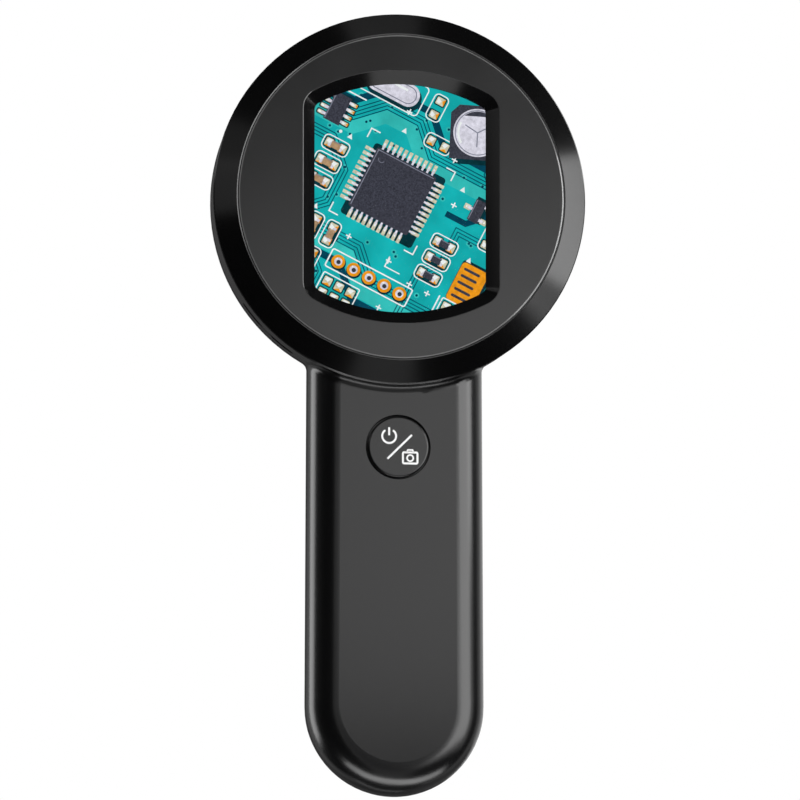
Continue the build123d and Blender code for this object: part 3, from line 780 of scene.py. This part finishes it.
class BoardPicture:
    """Flat outlines, sorted by layer, that together make the picture of a circuit board."""

    def __init__(self, border, tilt):
        self.border = border
        self.tilt = tilt
        self.outlines = {ink[0]: [] for ink in INKS}
        self.outlines["mask"].append(border)

    def put(self, x, z, turn=0.0, **layers):
        """Puts outlines, drawn about their own origin, into some layers at a place on the board."""
        x, z = moved([(x, z)], 0, 0, self.tilt)[0]
        for layer, outlines in layers.items():
            for outline in outlines:
                placed = moved(outline, x, z, self.tilt + turn)
                if area(placed) < 0:
                    placed.reverse()
                inside = clipped(placed, self.border)
                if inside and area(inside) > SMALLEST_INK:
                    self.outlines[layer].append(inside)

    def solder_pad(self, x, z, width, height, turn=0.0, about=(0.0, 0.0)):
        """Tinned pad in a dark clearance, with a lit and a dull slope on its solder."""
        (u, v), half, rise = moved([(x, z)], *about, turn)[0], width / 2, height / 2
        self.put(
            u, v, turn, shade=[rounded(0, 0, width + 0.44, height + 0.44, 0.3, 2)],
            pads=[rounded(0, 0, width, height, 0.2, 2)],
            rings=[[(-half, -rise), (half, -rise), (0.2 * half, -0.35 * rise)]],
            glints=[[(-0.8 * half, 0.1 * rise), (0.1 * half, -0.2 * rise),
                     (0.7 * half, 0.8 * rise), (-0.5 * half, 0.8 * rise)]])

    def chip_parts(self, places, turn=0.0, body="bodies"):
        """Two-terminal parts on their pads in rounded frames, or bare pads if body is empty."""
        for x, z in places:
            self.put(x, z, turn, print=band(rounded(0, 0, 5.0, 2.7, 0.8), 0.2))
            for side in (-1, 1):
                self.solder_pad(side * 1.35, 0, 1.4, 1.6, turn, (x, z))
            if body:
                self.put(
                    x, z, turn, shade=[box(0.2, -0.3, 3.4, 1.9)], **{body: [box(0, 0, 2.1, 1.3)]},
                    tin=[box(side * 1.15, 0, 0.5, 1.34) for side in (-1, 1)],
                    edges=[stroke([(-0.8, 0.52), (0.8, 0.52)], 0.14)])

    def pad_block(self, x, z, columns, rows, pitch, turn=0.0):
        """Block of bare square pads inside a frame."""
        for u in row(columns, pitch):
            for v in row(rows, pitch):
                self.solder_pad(u, v, pitch * 0.68, pitch * 0.68, turn, (x, z))
        frame = rounded(0, 0, columns * pitch + 0.3, rows * pitch + 0.3, 0.25, 2)
        self.put(x, z, turn, print=band(frame, 0.22))

    def small_outline(self, x, z, pins, turn=0.0):
        """Flat package with pins along two sides."""
        pitch = 1.27
        length = pins * pitch + 0.4
        for place in row(pins, pitch):
            for side in (-1, 1):
                self.solder_pad(place, side * 2.4, 0.66, 1.3, turn, (x, z))
                self.put(x, z, turn, tin=[box(place, side * 1.9, 0.5, 0.8)])
        self.put(
            x, z, turn, shade=[box(0.3, -0.4, length, 3.4)], bodies=[box(0, 0, length, 3.2)],
            edges=[stroke([(-length / 2 + 0.2, 1.35), (length / 2 - 0.2, 1.35)], 0.18)],
            print=[disc(-length / 2 - 0.7, -2.4, 0.3, 12)])

    def marks(self, places):
        """Small plus signs and arrowheads beside the parts."""
        plus = [box(0, 0, 1.1, 0.24), box(0, 0, 0.24, 1.1)]
        arrowhead = [[(-0.5, -0.45), (0.5, -0.45), (0, 0.5)]]
        for index, (x, z) in enumerate(places):
            self.put(x, z, print=arrowhead if index % 2 else plus)

    def flat_pack(self, x, z, size, pins, pitch):
        """Square chip with bent pins on all four sides."""
        half = size / 2
        corner, inner, dot = half + 2.5, half - 0.4, half - 1.7
        frame = [(corner - 1.8, corner), (corner, corner), (corner, corner - 1.8)]
        self.put(x, z, shade=[rounded(0.5, -0.6, size + 2.4, size + 2.4, 0.6)])
        for quarter in range(4):
            self.put(
                x, z, quarter * pi / 2, print=[stroke(frame, 0.24)],
                pads=[box(half + 1.2, place, 1.5, pitch * 0.62) for place in row(pins, pitch)],
                tin=[box(half + 0.55, place, 1.2, pitch * 0.38) for place in row(pins, pitch)],
                glints=[box(half + 1.0, place + 0.05, 0.4, 0.18) for place in row(pins, pitch)])
        self.put(
            x, z, bodies=[rounded(0, 0, size, size, 0.4, 2)], pits=[disc(-dot, dot, 0.6)],
            edges=[stroke([(-inner, -inner), (-inner, inner), (inner, inner)], 0.16),
                   stroke(arc(-dot, dot, 0.6, pi, 1.9 * pi, 12), 0.1)])

    def can_capacitor(self, x, z, radius, turn):
        """Round can on its square base, seen from above, with its polarity sector."""
        side, cut = radius + 0.55, 1.5
        base = [(-side, -side), (side, -side), (side, side - cut), (side - cut, side),
                (cut - side, side), (-side, side - cut)]
        vents = [moved([(0, 0), (radius * 0.6, 0)], 0, 0, radians(way)) for way in (30, 150, 270)]
        self.put(
            x, z, turn, shade=[[(u + 0.8, v - 0.9) for u, v in base]], bodies=[base],
            tin=[disc(0, 0, radius, 40)],
            pits=[arc(0, 0, radius - 0.5, radians(50), radians(130), 16)],
            edges=[stroke(vent, 0.2) for vent in vents] + band(disc(0, 0, radius - 0.35, 40), 0.16),
            glints=[stroke(arc(0, 0, radius - 0.9, radians(150), radians(215), 12), 0.4)])

    def crystal(self, x, z):
        """Metal can with a raised top and a rolled rim."""
        self.put(
            x, z, shade=[rounded(0.4, -0.5, 10.6, 4.6, 2.1)],
            tin=[rounded(0, 0, 10.2, 4.2, 2.0, 8)],
            edges=band(rounded(0, 0, 9.0, 3.1, 1.5, 8), 0.18),
            glints=[stroke([(-3.2, 0.75), (2.6, 0.75)], 0.4)],
            print=band(rounded(0, 0, 12.0, 5.8, 0.7), 0.22))

    def header(self, x, z, count, pitch):
        """Row of plated holes inside a long frame."""
        for place in row(count, pitch):
            self.put(
                x, z, shade=[disc(place + 0.12, -0.2, 1.4)], rings=[disc(place, 0, 1.25)],
                tin=[disc(place, 0, 0.74, 20)], pits=[disc(place + 0.08, -0.06, 0.4, 16)],
                glints=[disc(place - 0.42, 0.42, 0.15, 10)])
        frame = rounded(0, 0, count * pitch + 0.6, pitch + 0.4, 0.3, 2)
        self.put(x, z, print=band(frame, 0.26))

    def copper_comb(self, x, z, turn):
        """Bare copper with slots, as left for a heat path."""
        self.put(
            x, z, turn, shade=[rounded(0.2, -0.2, 8.2, 5.8, 0.8)],
            rings=[rounded(0, 0, 7.6, 5.2, 0.7)],
            pits=[rounded(place, 0.35, 0.5, 3.2, 0.24, 3) for place in row(5, 1.32)])

    def transistor(self, x, z, turn):
        """Small package with three legs."""
        legs = [(-1.3, -1), (1.3, -1), (0, 1)]
        self.put(
            x, z, turn, shade=[box(0.3, -0.35, 4.6, 2.6)], bodies=[box(0, 0, 4.2, 2.1)],
            pads=[box(place, side * 1.9, 1.0, 1.2) for place, side in legs],
            tin=[box(place, side * 1.4, 0.55, 0.9) for place, side in legs],
            glints=[box(place, side * 2.1, 0.4, 0.24) for place, side in legs],
            edges=[stroke([(-1.9, 0.8), (1.9, 0.8)], 0.16)])

    def track(self, layer, points, width):
        self.put(0, 0, **{layer: band(points, width, closed=False)})

    def bus(self, points, count, pitch):
        """Parallel tracks, drawn by the gaps between them."""
        for lane in range(count):
            self.track("gaps", offset(points, lane * pitch), TRACK_GAP)

    def vias(self, count, seed):
        """Small plated holes scattered over the board."""
        places = random.Random(seed)
        for _ in range(count):
            x, z = places.uniform(-18, 18), places.uniform(-22, 22)
            self.put(x, z, pour=[disc(0, 0, 0.5, 14)], gaps=[disc(0, 0, 0.24, 10)])


def draw_board(board):
    """Lays the tracks and parts out over the window."""
    upper = [(-26, 8.9), (-14, 8.9), (-9.4, 13.5), (-3.2, 13.5), (1.4, 8.9), (26, 8.9)]
    lower = [(-26, -12.2), (-3, -12.2), (2, -17.2), (26, -17.2)]
    for line, side in ((upper, 1), (lower, -1)):
        board.track("pour", offset(line, -1.3), 2.3)
        board.bus(line, 4, 0.62)
        board.track("gaps", offset(line, side * 3.3), 1.3)
    board.bus([(-26, 3.4), (-16.3, 3.4), (-12.4, -0.5), (-12.4, -6.2), (-17, -10.8), (-17, -26)],
              4, 0.6)
    board.bus([(8.4, 26), (8.4, 19.5), (11.5, 16.4), (11.5, 11.2), (14.2, 8.5), (26, 8.5)],
              4, 0.58)
    board.bus([(9.6, -26), (9.6, -10.4), (12.6, -7.4), (12.6, -1.0), (26, -1.0)], 3, 0.6)
    board.bus([(-6.4, -26), (-6.4, -18.4), (-10.4, -14.4), (-10.4, -9.6)], 3, 0.56)
    board.track("gaps", [(8.6, 1.6), (12.6, 1.6), (16.4, 5.4), (26, 5.4)], 1.1)
    board.track("gaps", [(-8.4, -26), (-8.4, -19.2), (-13.4, -14.2), (-26, -14.2)], 1.0)
    board.vias(count=90, seed=11)
    board.flat_pack(-1.8, 0.6, size=12.0, pins=11, pitch=1.0)
    board.can_capacitor(7.0, 17.4, radius=4.4, turn=radians(24))
    board.crystal(-10.2, 17.6)
    board.small_outline(-17.4, 9.4, pins=4, turn=pi / 2)
    board.header(1.6, -15.4, count=5, pitch=3.1)
    board.copper_comb(18.0, -8.4, pi / 2)
    board.transistor(13.4, 4.6, pi / 2)
    board.pad_block(-2.4, -20.6, columns=3, rows=2, pitch=2.3)
    board.pad_block(17.4, -14.6, columns=2, rows=2, pitch=2.2)
    board.chip_parts([(10.9, -3.6), (10.9, -6.8), (10.9, -10.0)])
    board.chip_parts([(-14.6, 3.2), (-14.6, -0.2), (-14.6, -3.6)], 0, "ceramic")
    board.chip_parts([(-8.2, -11.6), (-11.6, -11.6)], pi / 2, "ceramic")
    board.chip_parts([(1.6, 12.2)], 0, "")
    board.chip_parts([(-1.5, 18.0), (-9.4, -17.4), (17.6, 1.2)], pi / 2, "")
    board.marks([
        (5.6, 11.0), (-4.8, 11.6), (8.6, -13.0), (-13.0, 6.0), (-5.0, -10.4), (16.2, -4.0),
        (9.2, 3.6), (9.4, 7.0), (5.6, -19.4), (-16.6, -8.0), (3.4, -11.0), (-12.8, -8.2),
        (-5.6, 15.0), (13.4, 9.8), (12.2, -13.0), (-18.2, -11.8), (6.8, -22.0)])
    board.put(0, 0, print=[
        stroke([(-13.4, 13.2), (-18.6, 13.2), (-18.6, 18.4)], 0.26),
        stroke([(6.2, -12.2), (3.2, -12.2), (3.2, -10.2)], 0.22),
        stroke([(14.4, -12.2), (14.4, -19.6)], 0.26), stroke([(11.4, 12.4), (16.4, 12.4)], 0.22)])


# ---- Studio ----
def toward(azimuth, elevation):
    """Unit step from the object to a place round it; azimuth 0 is in front of the face."""
    return Vector((sin(azimuth) * cos(elevation), -cos(azimuth) * cos(elevation), sin(elevation)))


def add_stage(name, data):
    thing = add_object(name, data)
    return thing


def aim_from(thing, centre, azimuth, elevation, distance):
    """Places a camera or a lamp so that it looks at a point."""
    way = toward(azimuth, elevation)
    thing.location = centre + way * distance
    thing.rotation_euler = way.to_track_quat("Z", "Y").to_euler()


def softbox(name, azimuth, elevation, distance, width, height, radiance):
    """Area lamp that shows in reflections but not to the camera."""
    lamp = bpy.data.lights.new(name, "AREA")
    lamp.shape = "RECTANGLE"
    lamp.size, lamp.size_y = width, height
    lamp.energy = pi * radiance * width * height
    thing = add_stage(name, lamp)
    thing.visible_camera = False
    aim_from(thing, OBJECT_CENTRE, radians(azimuth), radians(elevation), distance)


def card(name, left, right, low, high, level):
    """Card that only reflections see, between two azimuths and two elevations."""
    azimuths, elevations = sweep(left, right), sweep(low, high)
    shell = bmesh.new()
    grid = [[shell.verts.new(OBJECT_CENTRE + CARD_RADIUS * toward(azimuth, elevation))
             for elevation in elevations] for azimuth in azimuths]
    for near, far in zip(grid, grid[1:]):
        for step in range(len(elevations) - 1):
            shell.faces.new([near[step], far[step], far[step + 1], near[step + 1]])
    paint = card_paint(f"studio_card_{level:.2f}", level)
    thing = add_stage(name, shaped(name, shell, paint))
    thing.visible_camera = thing.visible_diffuse = False
    thing.visible_transmission = thing.visible_shadow = False


def sweep(start, end):
    """Angles in radians from one in degrees to another, in even steps."""
    steps = max(2, round((end - start) / CARD_STEP))
    return [radians(start + (end - start) * step / steps) for step in range(steps + 1)]


# Softboxes: name, azimuth, elevation, distance, width, height, radiance
SOFTBOXES = [
    ("key", 42, 2.0, 0.45, 0.328, 0.376, 3.8),
    ("bevel", 66, 15.5, 0.138, 0.036, 0.09, 4.2),
    ("front", 10.4, 3.4, 0.153, 0.095, 0.099, 1.3),
    ("top", 7, 67.5, 1.1, 0.36, 0.22, 0.85),
    ("below", 8, -79.4, 0.117, 0.11, 0.021, 4.3),
    ("left", -57, 22.5, 0.163, 0.045, 0.045, 0.4),
    ("left_back", -113, 5, 1.1, 0.5, 1.1, 3.4),
    ("corner_left_high", -79, 24, 1.1, 0.14, 0.26, 3.0),
    ("corner_right_high", 95, 29, 1.1, 0.20, 0.50, 6.5),
]
# Cards: name, left and right azimuth, low and high elevation, level
CARDS = [
    ("front", -11, 17, -30, 60, 0.25),
    ("front_low", -14, 20, -62, -30, 0.44),
    ("right_high", 17, 75, 24, 62, 0.03),
    ("right_low", 20, 75, -62, -25, 0.0),
    ("right_side", 75, 100, -62, 62, 0.03),
    ("right_back", 100, 118, -62, 62, 0.5),
    ("right_back_low", 118, 160, -62, -14, 0.2),
    ("back", 160, 204, -55, 62, 0.1),
    ("back_left", 204, 228, -55, 62, 0.35),
    ("left_back_low", -132, -96, -62, -24, 0.03),
    ("left", -96, -14, -62, 20, 0.01),
    ("left_high", -96, -11, 20, 34, 0.28),
    ("left_top", -96, -11, 34, 62, 0.03),
    ("top", -180, 180, 62, 89, 0.03),
    ("under", -180, 180, -89, -72, 0.04),
    ("under_back", 75, 285, -72, -62, 0.04),
    ("under_front", -75, 75, -72, -62, 1.2),
]


# ---- Settings ----
def colour_setting(name, thing, default):
    return FloatVectorProperty(
        name=name, description="Colour of " + thing, subtype="COLOR", default=default,
        min=0, max=1)


def factor_setting(name, description, default, highest=1):
    return FloatProperty(
        name=name, description=description, subtype="FACTOR", default=default, min=0, max=highest)


class MicroscopeCasing(bpy.types.PropertyGroup):
    """Colours and gloss of the outside."""

    plastic: colour_setting("Plastic", "the housing, key and grip", (0.0018, 0.0018, 0.0020))
    bezel: colour_setting("Bezel", "the polished ring", (0.0014, 0.0014, 0.0015))
    plate: colour_setting("Face plate", "the matt face plate", (0.0030, 0.0030, 0.0032))
    casing_roughness: factor_setting("Housing roughness", "Roughness of the satin housing", 0.24)
    bezel_roughness: factor_setting("Bezel roughness", "Roughness of the polished ring", 0.17)
    plate_roughness: factor_setting("Plate roughness", "Roughness of the matt face plate", 0.3)


class MicroscopeScreen(bpy.types.PropertyGroup):
    """What the display shows."""

    tilt: FloatProperty(
        name="Board tilt", description="Turn of the board in the picture", subtype="ANGLE",
        default=radians(-27))
    level: factor_setting("Brightness", "Brightness of the lit picture", 1.0, 4)
    mask: colour_setting("Solder mask", "the board", (0.008, 0.41, 0.42))
    pour: colour_setting("Copper under mask", "covered copper", (0.035, 0.50, 0.47))
    gap: colour_setting("Gaps", "the gaps between tracks", (0.002, 0.055, 0.095))
    shade: colour_setting("Shade", "shaded board", (0.003, 0.035, 0.045))
    copper: colour_setting("Bare copper", "bare copper", (0.80, 0.30, 0.012))
    pad: colour_setting("Pads", "tinned pads", (0.60, 0.58, 0.42))
    silkscreen: colour_setting("Silkscreen", "the printed lines", (0.83, 0.87, 0.87))
    package: colour_setting("Packages", "moulded packages", (0.045, 0.047, 0.064))
    ceramic: colour_setting("Ceramic", "ceramic bodies", (0.42, 0.27, 0.15))
    tin: colour_setting("Tin", "tinned and plated metal", (0.66, 0.65, 0.74))
    edge: colour_setting("Edges", "lit package edges", (0.20, 0.21, 0.27))


class MicroscopeStudio(bpy.types.PropertyGroup):
    """Camera and light levels."""

    azimuth: FloatProperty(
        name="Azimuth", description="Where the camera stands round the object", subtype="ANGLE",
        default=radians(-7.18))
    elevation: FloatProperty(
        name="Elevation", description="How high the camera stands", subtype="ANGLE",
        default=radians(-8.69))
    distance: FloatProperty(
        name="Distance", description="From the camera to what it looks at", subtype="DISTANCE",
        unit="LENGTH", default=2.5, min=0.5)
    lens: FloatProperty(
        name="Lens", description="Focal length of the camera", subtype="DISTANCE_CAMERA",
        unit="CAMERA", default=624.8, min=50)
    aim: FloatVectorProperty(
        name="Aim", description="Point in the middle of the view", subtype="TRANSLATION",
        unit="LENGTH", default=(0.001364, -0.013, -0.034986))
    ambient: factor_setting("Ambient", "Strength of the light from all round", 0.35)


# ---- Operators ----
class MICROSCOPE_OT_casing(bpy.types.Operator):
    """Finish the two housing halves and their screws"""

    bl_idname = "microscope.casing"
    bl_label = "Casing"

    def execute(self, context):
        dress(casing_satin_plastic(), "front_housing", "rear_cover")
        dress(metal("screw_black_oxide"), "housing_screws")
        return {"FINISHED"}


class MICROSCOPE_OT_face(bpy.types.Operator):
    """Finish the bezel ring, the face plate and the display window"""

    bl_idname = "microscope.face"
    bl_label = "Face"

    def execute(self, context):
        dress(bezel_polished_plastic(), "bezel_ring")
        dress(plate_matt_plastic(), "face_plate")
        dress(window_coated_glass(), "display_window")
        dress(gasket_black_foam(), "window_gasket")
        return {"FINISHED"}


class MICROSCOPE_OT_display(bpy.types.Operator):
    """Finish the display stack behind the window"""

    bl_idname = "microscope.display"
    bl_label = "Display Stack"

    def execute(self, context):
        dress(panel_polariser(), "lcd_panel")
        dress(plain_plastic("backlight_white_plastic"), "backlight_frame")
        dress(flex_amber_film(), "display_flex", "button_flex")
        dress(plain_plastic("bracket_grey_plastic"), "display_bracket")
        return {"FINISHED"}


class MICROSCOPE_OT_picture(bpy.types.Operator):
    """Build the picture of a circuit board that the display shows"""

    bl_idname = "microscope.picture"
    bl_label = "Screen Picture"

    def execute(self, context):
        looks = context.scene.microscope_screen
        board = BoardPicture(window_outline(*PICTURE_OUTLINE), looks.tilt)
        draw_board(board)
        for depth, (layer, hue, shading, drift) in enumerate(INKS, 1):
            front = PANEL_FRONT - depth * PICTURE_STEP
            name = "picture_" + layer
            ink = lit(name, getattr(looks, hue)[:], shading, drift, looks.level)
            plates(name, board.outlines[layer], front, front + PICTURE_THICKNESS, ink,
                   "housing")
        return {"FINISHED"}


class MICROSCOPE_OT_key(bpy.types.Operator):
    """Finish the key, print its symbols and finish the switch under it"""

    bl_idname = "microscope.key"
    bl_label = "Key and Switch"

    def execute(self, context):
        dress(key_satin_plastic(), "button_cap")
        dress(plain_plastic("switch_black_plastic"), "switch_plunger", "switch_body")
        dress(circuit("board_green_mask"), "button_board")
        for name, (x, z), outlines in SYMBOLS:
            placed = [moved(outline, x, z + KEY_CENTRE / MM) for outline in outlines]
            plates(name, placed, KEY_FRONT - INK_THICKNESS, KEY_FRONT, key_white_ink(),
                   "button")
        return {"FINISHED"}


class MICROSCOPE_OT_electronics(bpy.types.Operator):
    """Finish the boards, chips, sockets and the battery"""

    bl_idname = "microscope.electronics"
    bl_label = "Electronics"

    def execute(self, context):
        dress(circuit("board_green_mask"), "main_board")
        dress(plain_plastic("chip_epoxy_package"), "processor_chip", "memory_chip", "image_sensor")
        dress(components_ceramic(), "power_parts")
        dress(metal("socket_nickel_plate"), "card_socket", "usb_shell")
        dress(plain_plastic("switch_black_plastic"), "usb_tongue")
        dress(metal("screw_black_oxide"), "board_screws")
        dress(cell_creased_foil(), "battery_cell")
        dress(gasket_black_foam(), "battery_pad")
        dress(plain_plastic("plug_white_plastic"), "battery_plug")
        dress(lead_insulation(), "battery_leads")
        return {"FINISHED"}


class MICROSCOPE_OT_optics(bpy.types.Operator):
    """Finish the lens, its guide and the focusing ring"""

    bl_idname = "microscope.optics"
    bl_label = "Optics and Focusing"

    def execute(self, context):
        dress(lens_coated_glass(), "front_lens", "rear_lens", "sensor_glass")
        dress(optics_matt_plastic(), "lens_guide", "lens_cell", "cam_sleeve")
        dress(metal("screw_black_oxide"), "guide_screws")
        dress(metal("peg_ground_steel"), "guide_pegs")
        dress(metal("retainer_black_anodised"), "lens_retainer")
        dress(grip_soft_touch(), "focus_grip")
        dress(drag_grey_felt(), "drag_ring")
        return {"FINISHED"}


class MICROSCOPE_OT_lamps(bpy.types.Operator):
    """Finish the lamp ring and the clear hood round it"""

    bl_idname = "microscope.lamps"
    bl_label = "Lamp Ring and Hood"

    def execute(self, context):
        dress(plain_plastic("carrier_black_plastic"), "led_carrier")
        dress(circuit("board_white_mask"), "led_board")
        dress(lamp_white_package(), "leds")
        dress(metal("pin_gilt_brass"), "led_pins")
        dress(diffuser_milky_plastic(), "light_diffuser")
        dress(hood_clear_plastic(), "contact_hood")
        return {"FINISHED"}


class MICROSCOPE_OT_studio(bpy.types.Operator):
    """Set up the floor, the lights and the camera"""

    bl_idname = "microscope.studio"
    bl_label = "Studio"

    def execute(self, context):
        scene, layout = context.scene, context.scene.microscope_studio
        self.light_world(scene, layout)
        self.lay_floor()
        for name, *values in SOFTBOXES:
            softbox("softbox_" + name, *values)
        for name, *values in CARDS:
            card("card_" + name, *values)
        camera = bpy.data.cameras.new("studio_camera")
        camera.lens, camera.sensor_width = layout.lens, SENSOR_WIDTH
        camera.clip_start, camera.clip_end = CLIP
        scene.camera = add_stage("studio_camera", camera)
        aim_from(
            scene.camera, Vector(layout.aim), layout.azimuth, layout.elevation, layout.distance)
        scene.view_settings.view_transform = "Standard"
        return {"FINISHED"}

    def light_world(self, scene, layout):
        """Plain white to the camera and in reflections, softer as a light."""
        scene.world = bpy.data.worlds.new("studio_world")
        graph = Graph(scene.world)
        seen = graph.node("ShaderNodeLightPath", output="Is Camera Ray")
        for ray in ("Is Glossy Ray", "Is Transmission Ray"):
            seen = seen.max(graph.node("ShaderNodeLightPath", output=ray))
        strength = layout.ambient + (1 - layout.ambient) * seen
        sky = graph.node("ShaderNodeBackground", (), {"Color": (1, 1, 1), "Strength": strength})
        graph.end(sky, "ShaderNodeOutputWorld")

    def lay_floor(self):
        mesh = bpy.data.meshes.new("studio_floor")
        corners = [(x, y, 0) for x, y in box(0, 0, FLOOR_SIZE, FLOOR_SIZE)]
        mesh.from_pydata(corners, [], [(0, 1, 2, 3)])
        mesh.materials.append(studio_white_floor())
        floor = add_stage("studio_floor", mesh)
        floor.location = (OBJECT_CENTRE.x, OBJECT_CENTRE.y, FLOOR - FLOOR_GAP)
        floor.visible_glossy = floor.visible_shadow = False


class MICROSCOPE_PT_panel(bpy.types.Panel):
    """Lists the finishing steps and their settings"""

    bl_label = "Microscope"
    bl_idname = "MICROSCOPE_PT_panel"
    bl_space_type = "VIEW_3D"
    bl_region_type = "UI"
    bl_category = "Microscope"

    def draw(self, context):
        for owner in GROUPS:
            settings = getattr(context.scene, owner)
            column = self.layout.column(heading=owner)
            for name in settings.bl_rna.properties.keys():
                if name not in {"rna_type", "name"}:
                    column.prop(settings, name)
        for operator in STEPS:
            self.layout.operator(operator.bl_idname)


GROUPS = {
    "microscope_casing": MicroscopeCasing,
    "microscope_screen": MicroscopeScreen,
    "microscope_studio": MicroscopeStudio,
}
STEPS = [
    MICROSCOPE_OT_casing, MICROSCOPE_OT_face, MICROSCOPE_OT_display, MICROSCOPE_OT_picture,
    MICROSCOPE_OT_key, MICROSCOPE_OT_electronics, MICROSCOPE_OT_optics, MICROSCOPE_OT_lamps,
    MICROSCOPE_OT_studio,
]


def register():
    for owner, group in GROUPS.items():
        bpy.utils.register_class(group)
        setattr(bpy.types.Scene, owner, PointerProperty(type=group))
    for step in [*STEPS, MICROSCOPE_PT_panel]:
        bpy.utils.register_class(step)


def unregister():
    for step in [MICROSCOPE_PT_panel, *reversed(STEPS)]:
        bpy.utils.unregister_class(step)
    for owner, group in reversed(GROUPS.items()):
        delattr(bpy.types.Scene, owner)
        bpy.utils.unregister_class(group)


def main():
    register()
    for step in STEPS:
        group, name = step.bl_idname.split(".")
        getattr(getattr(bpy.ops, group), name)()


if __name__ == "__main__":
    main()
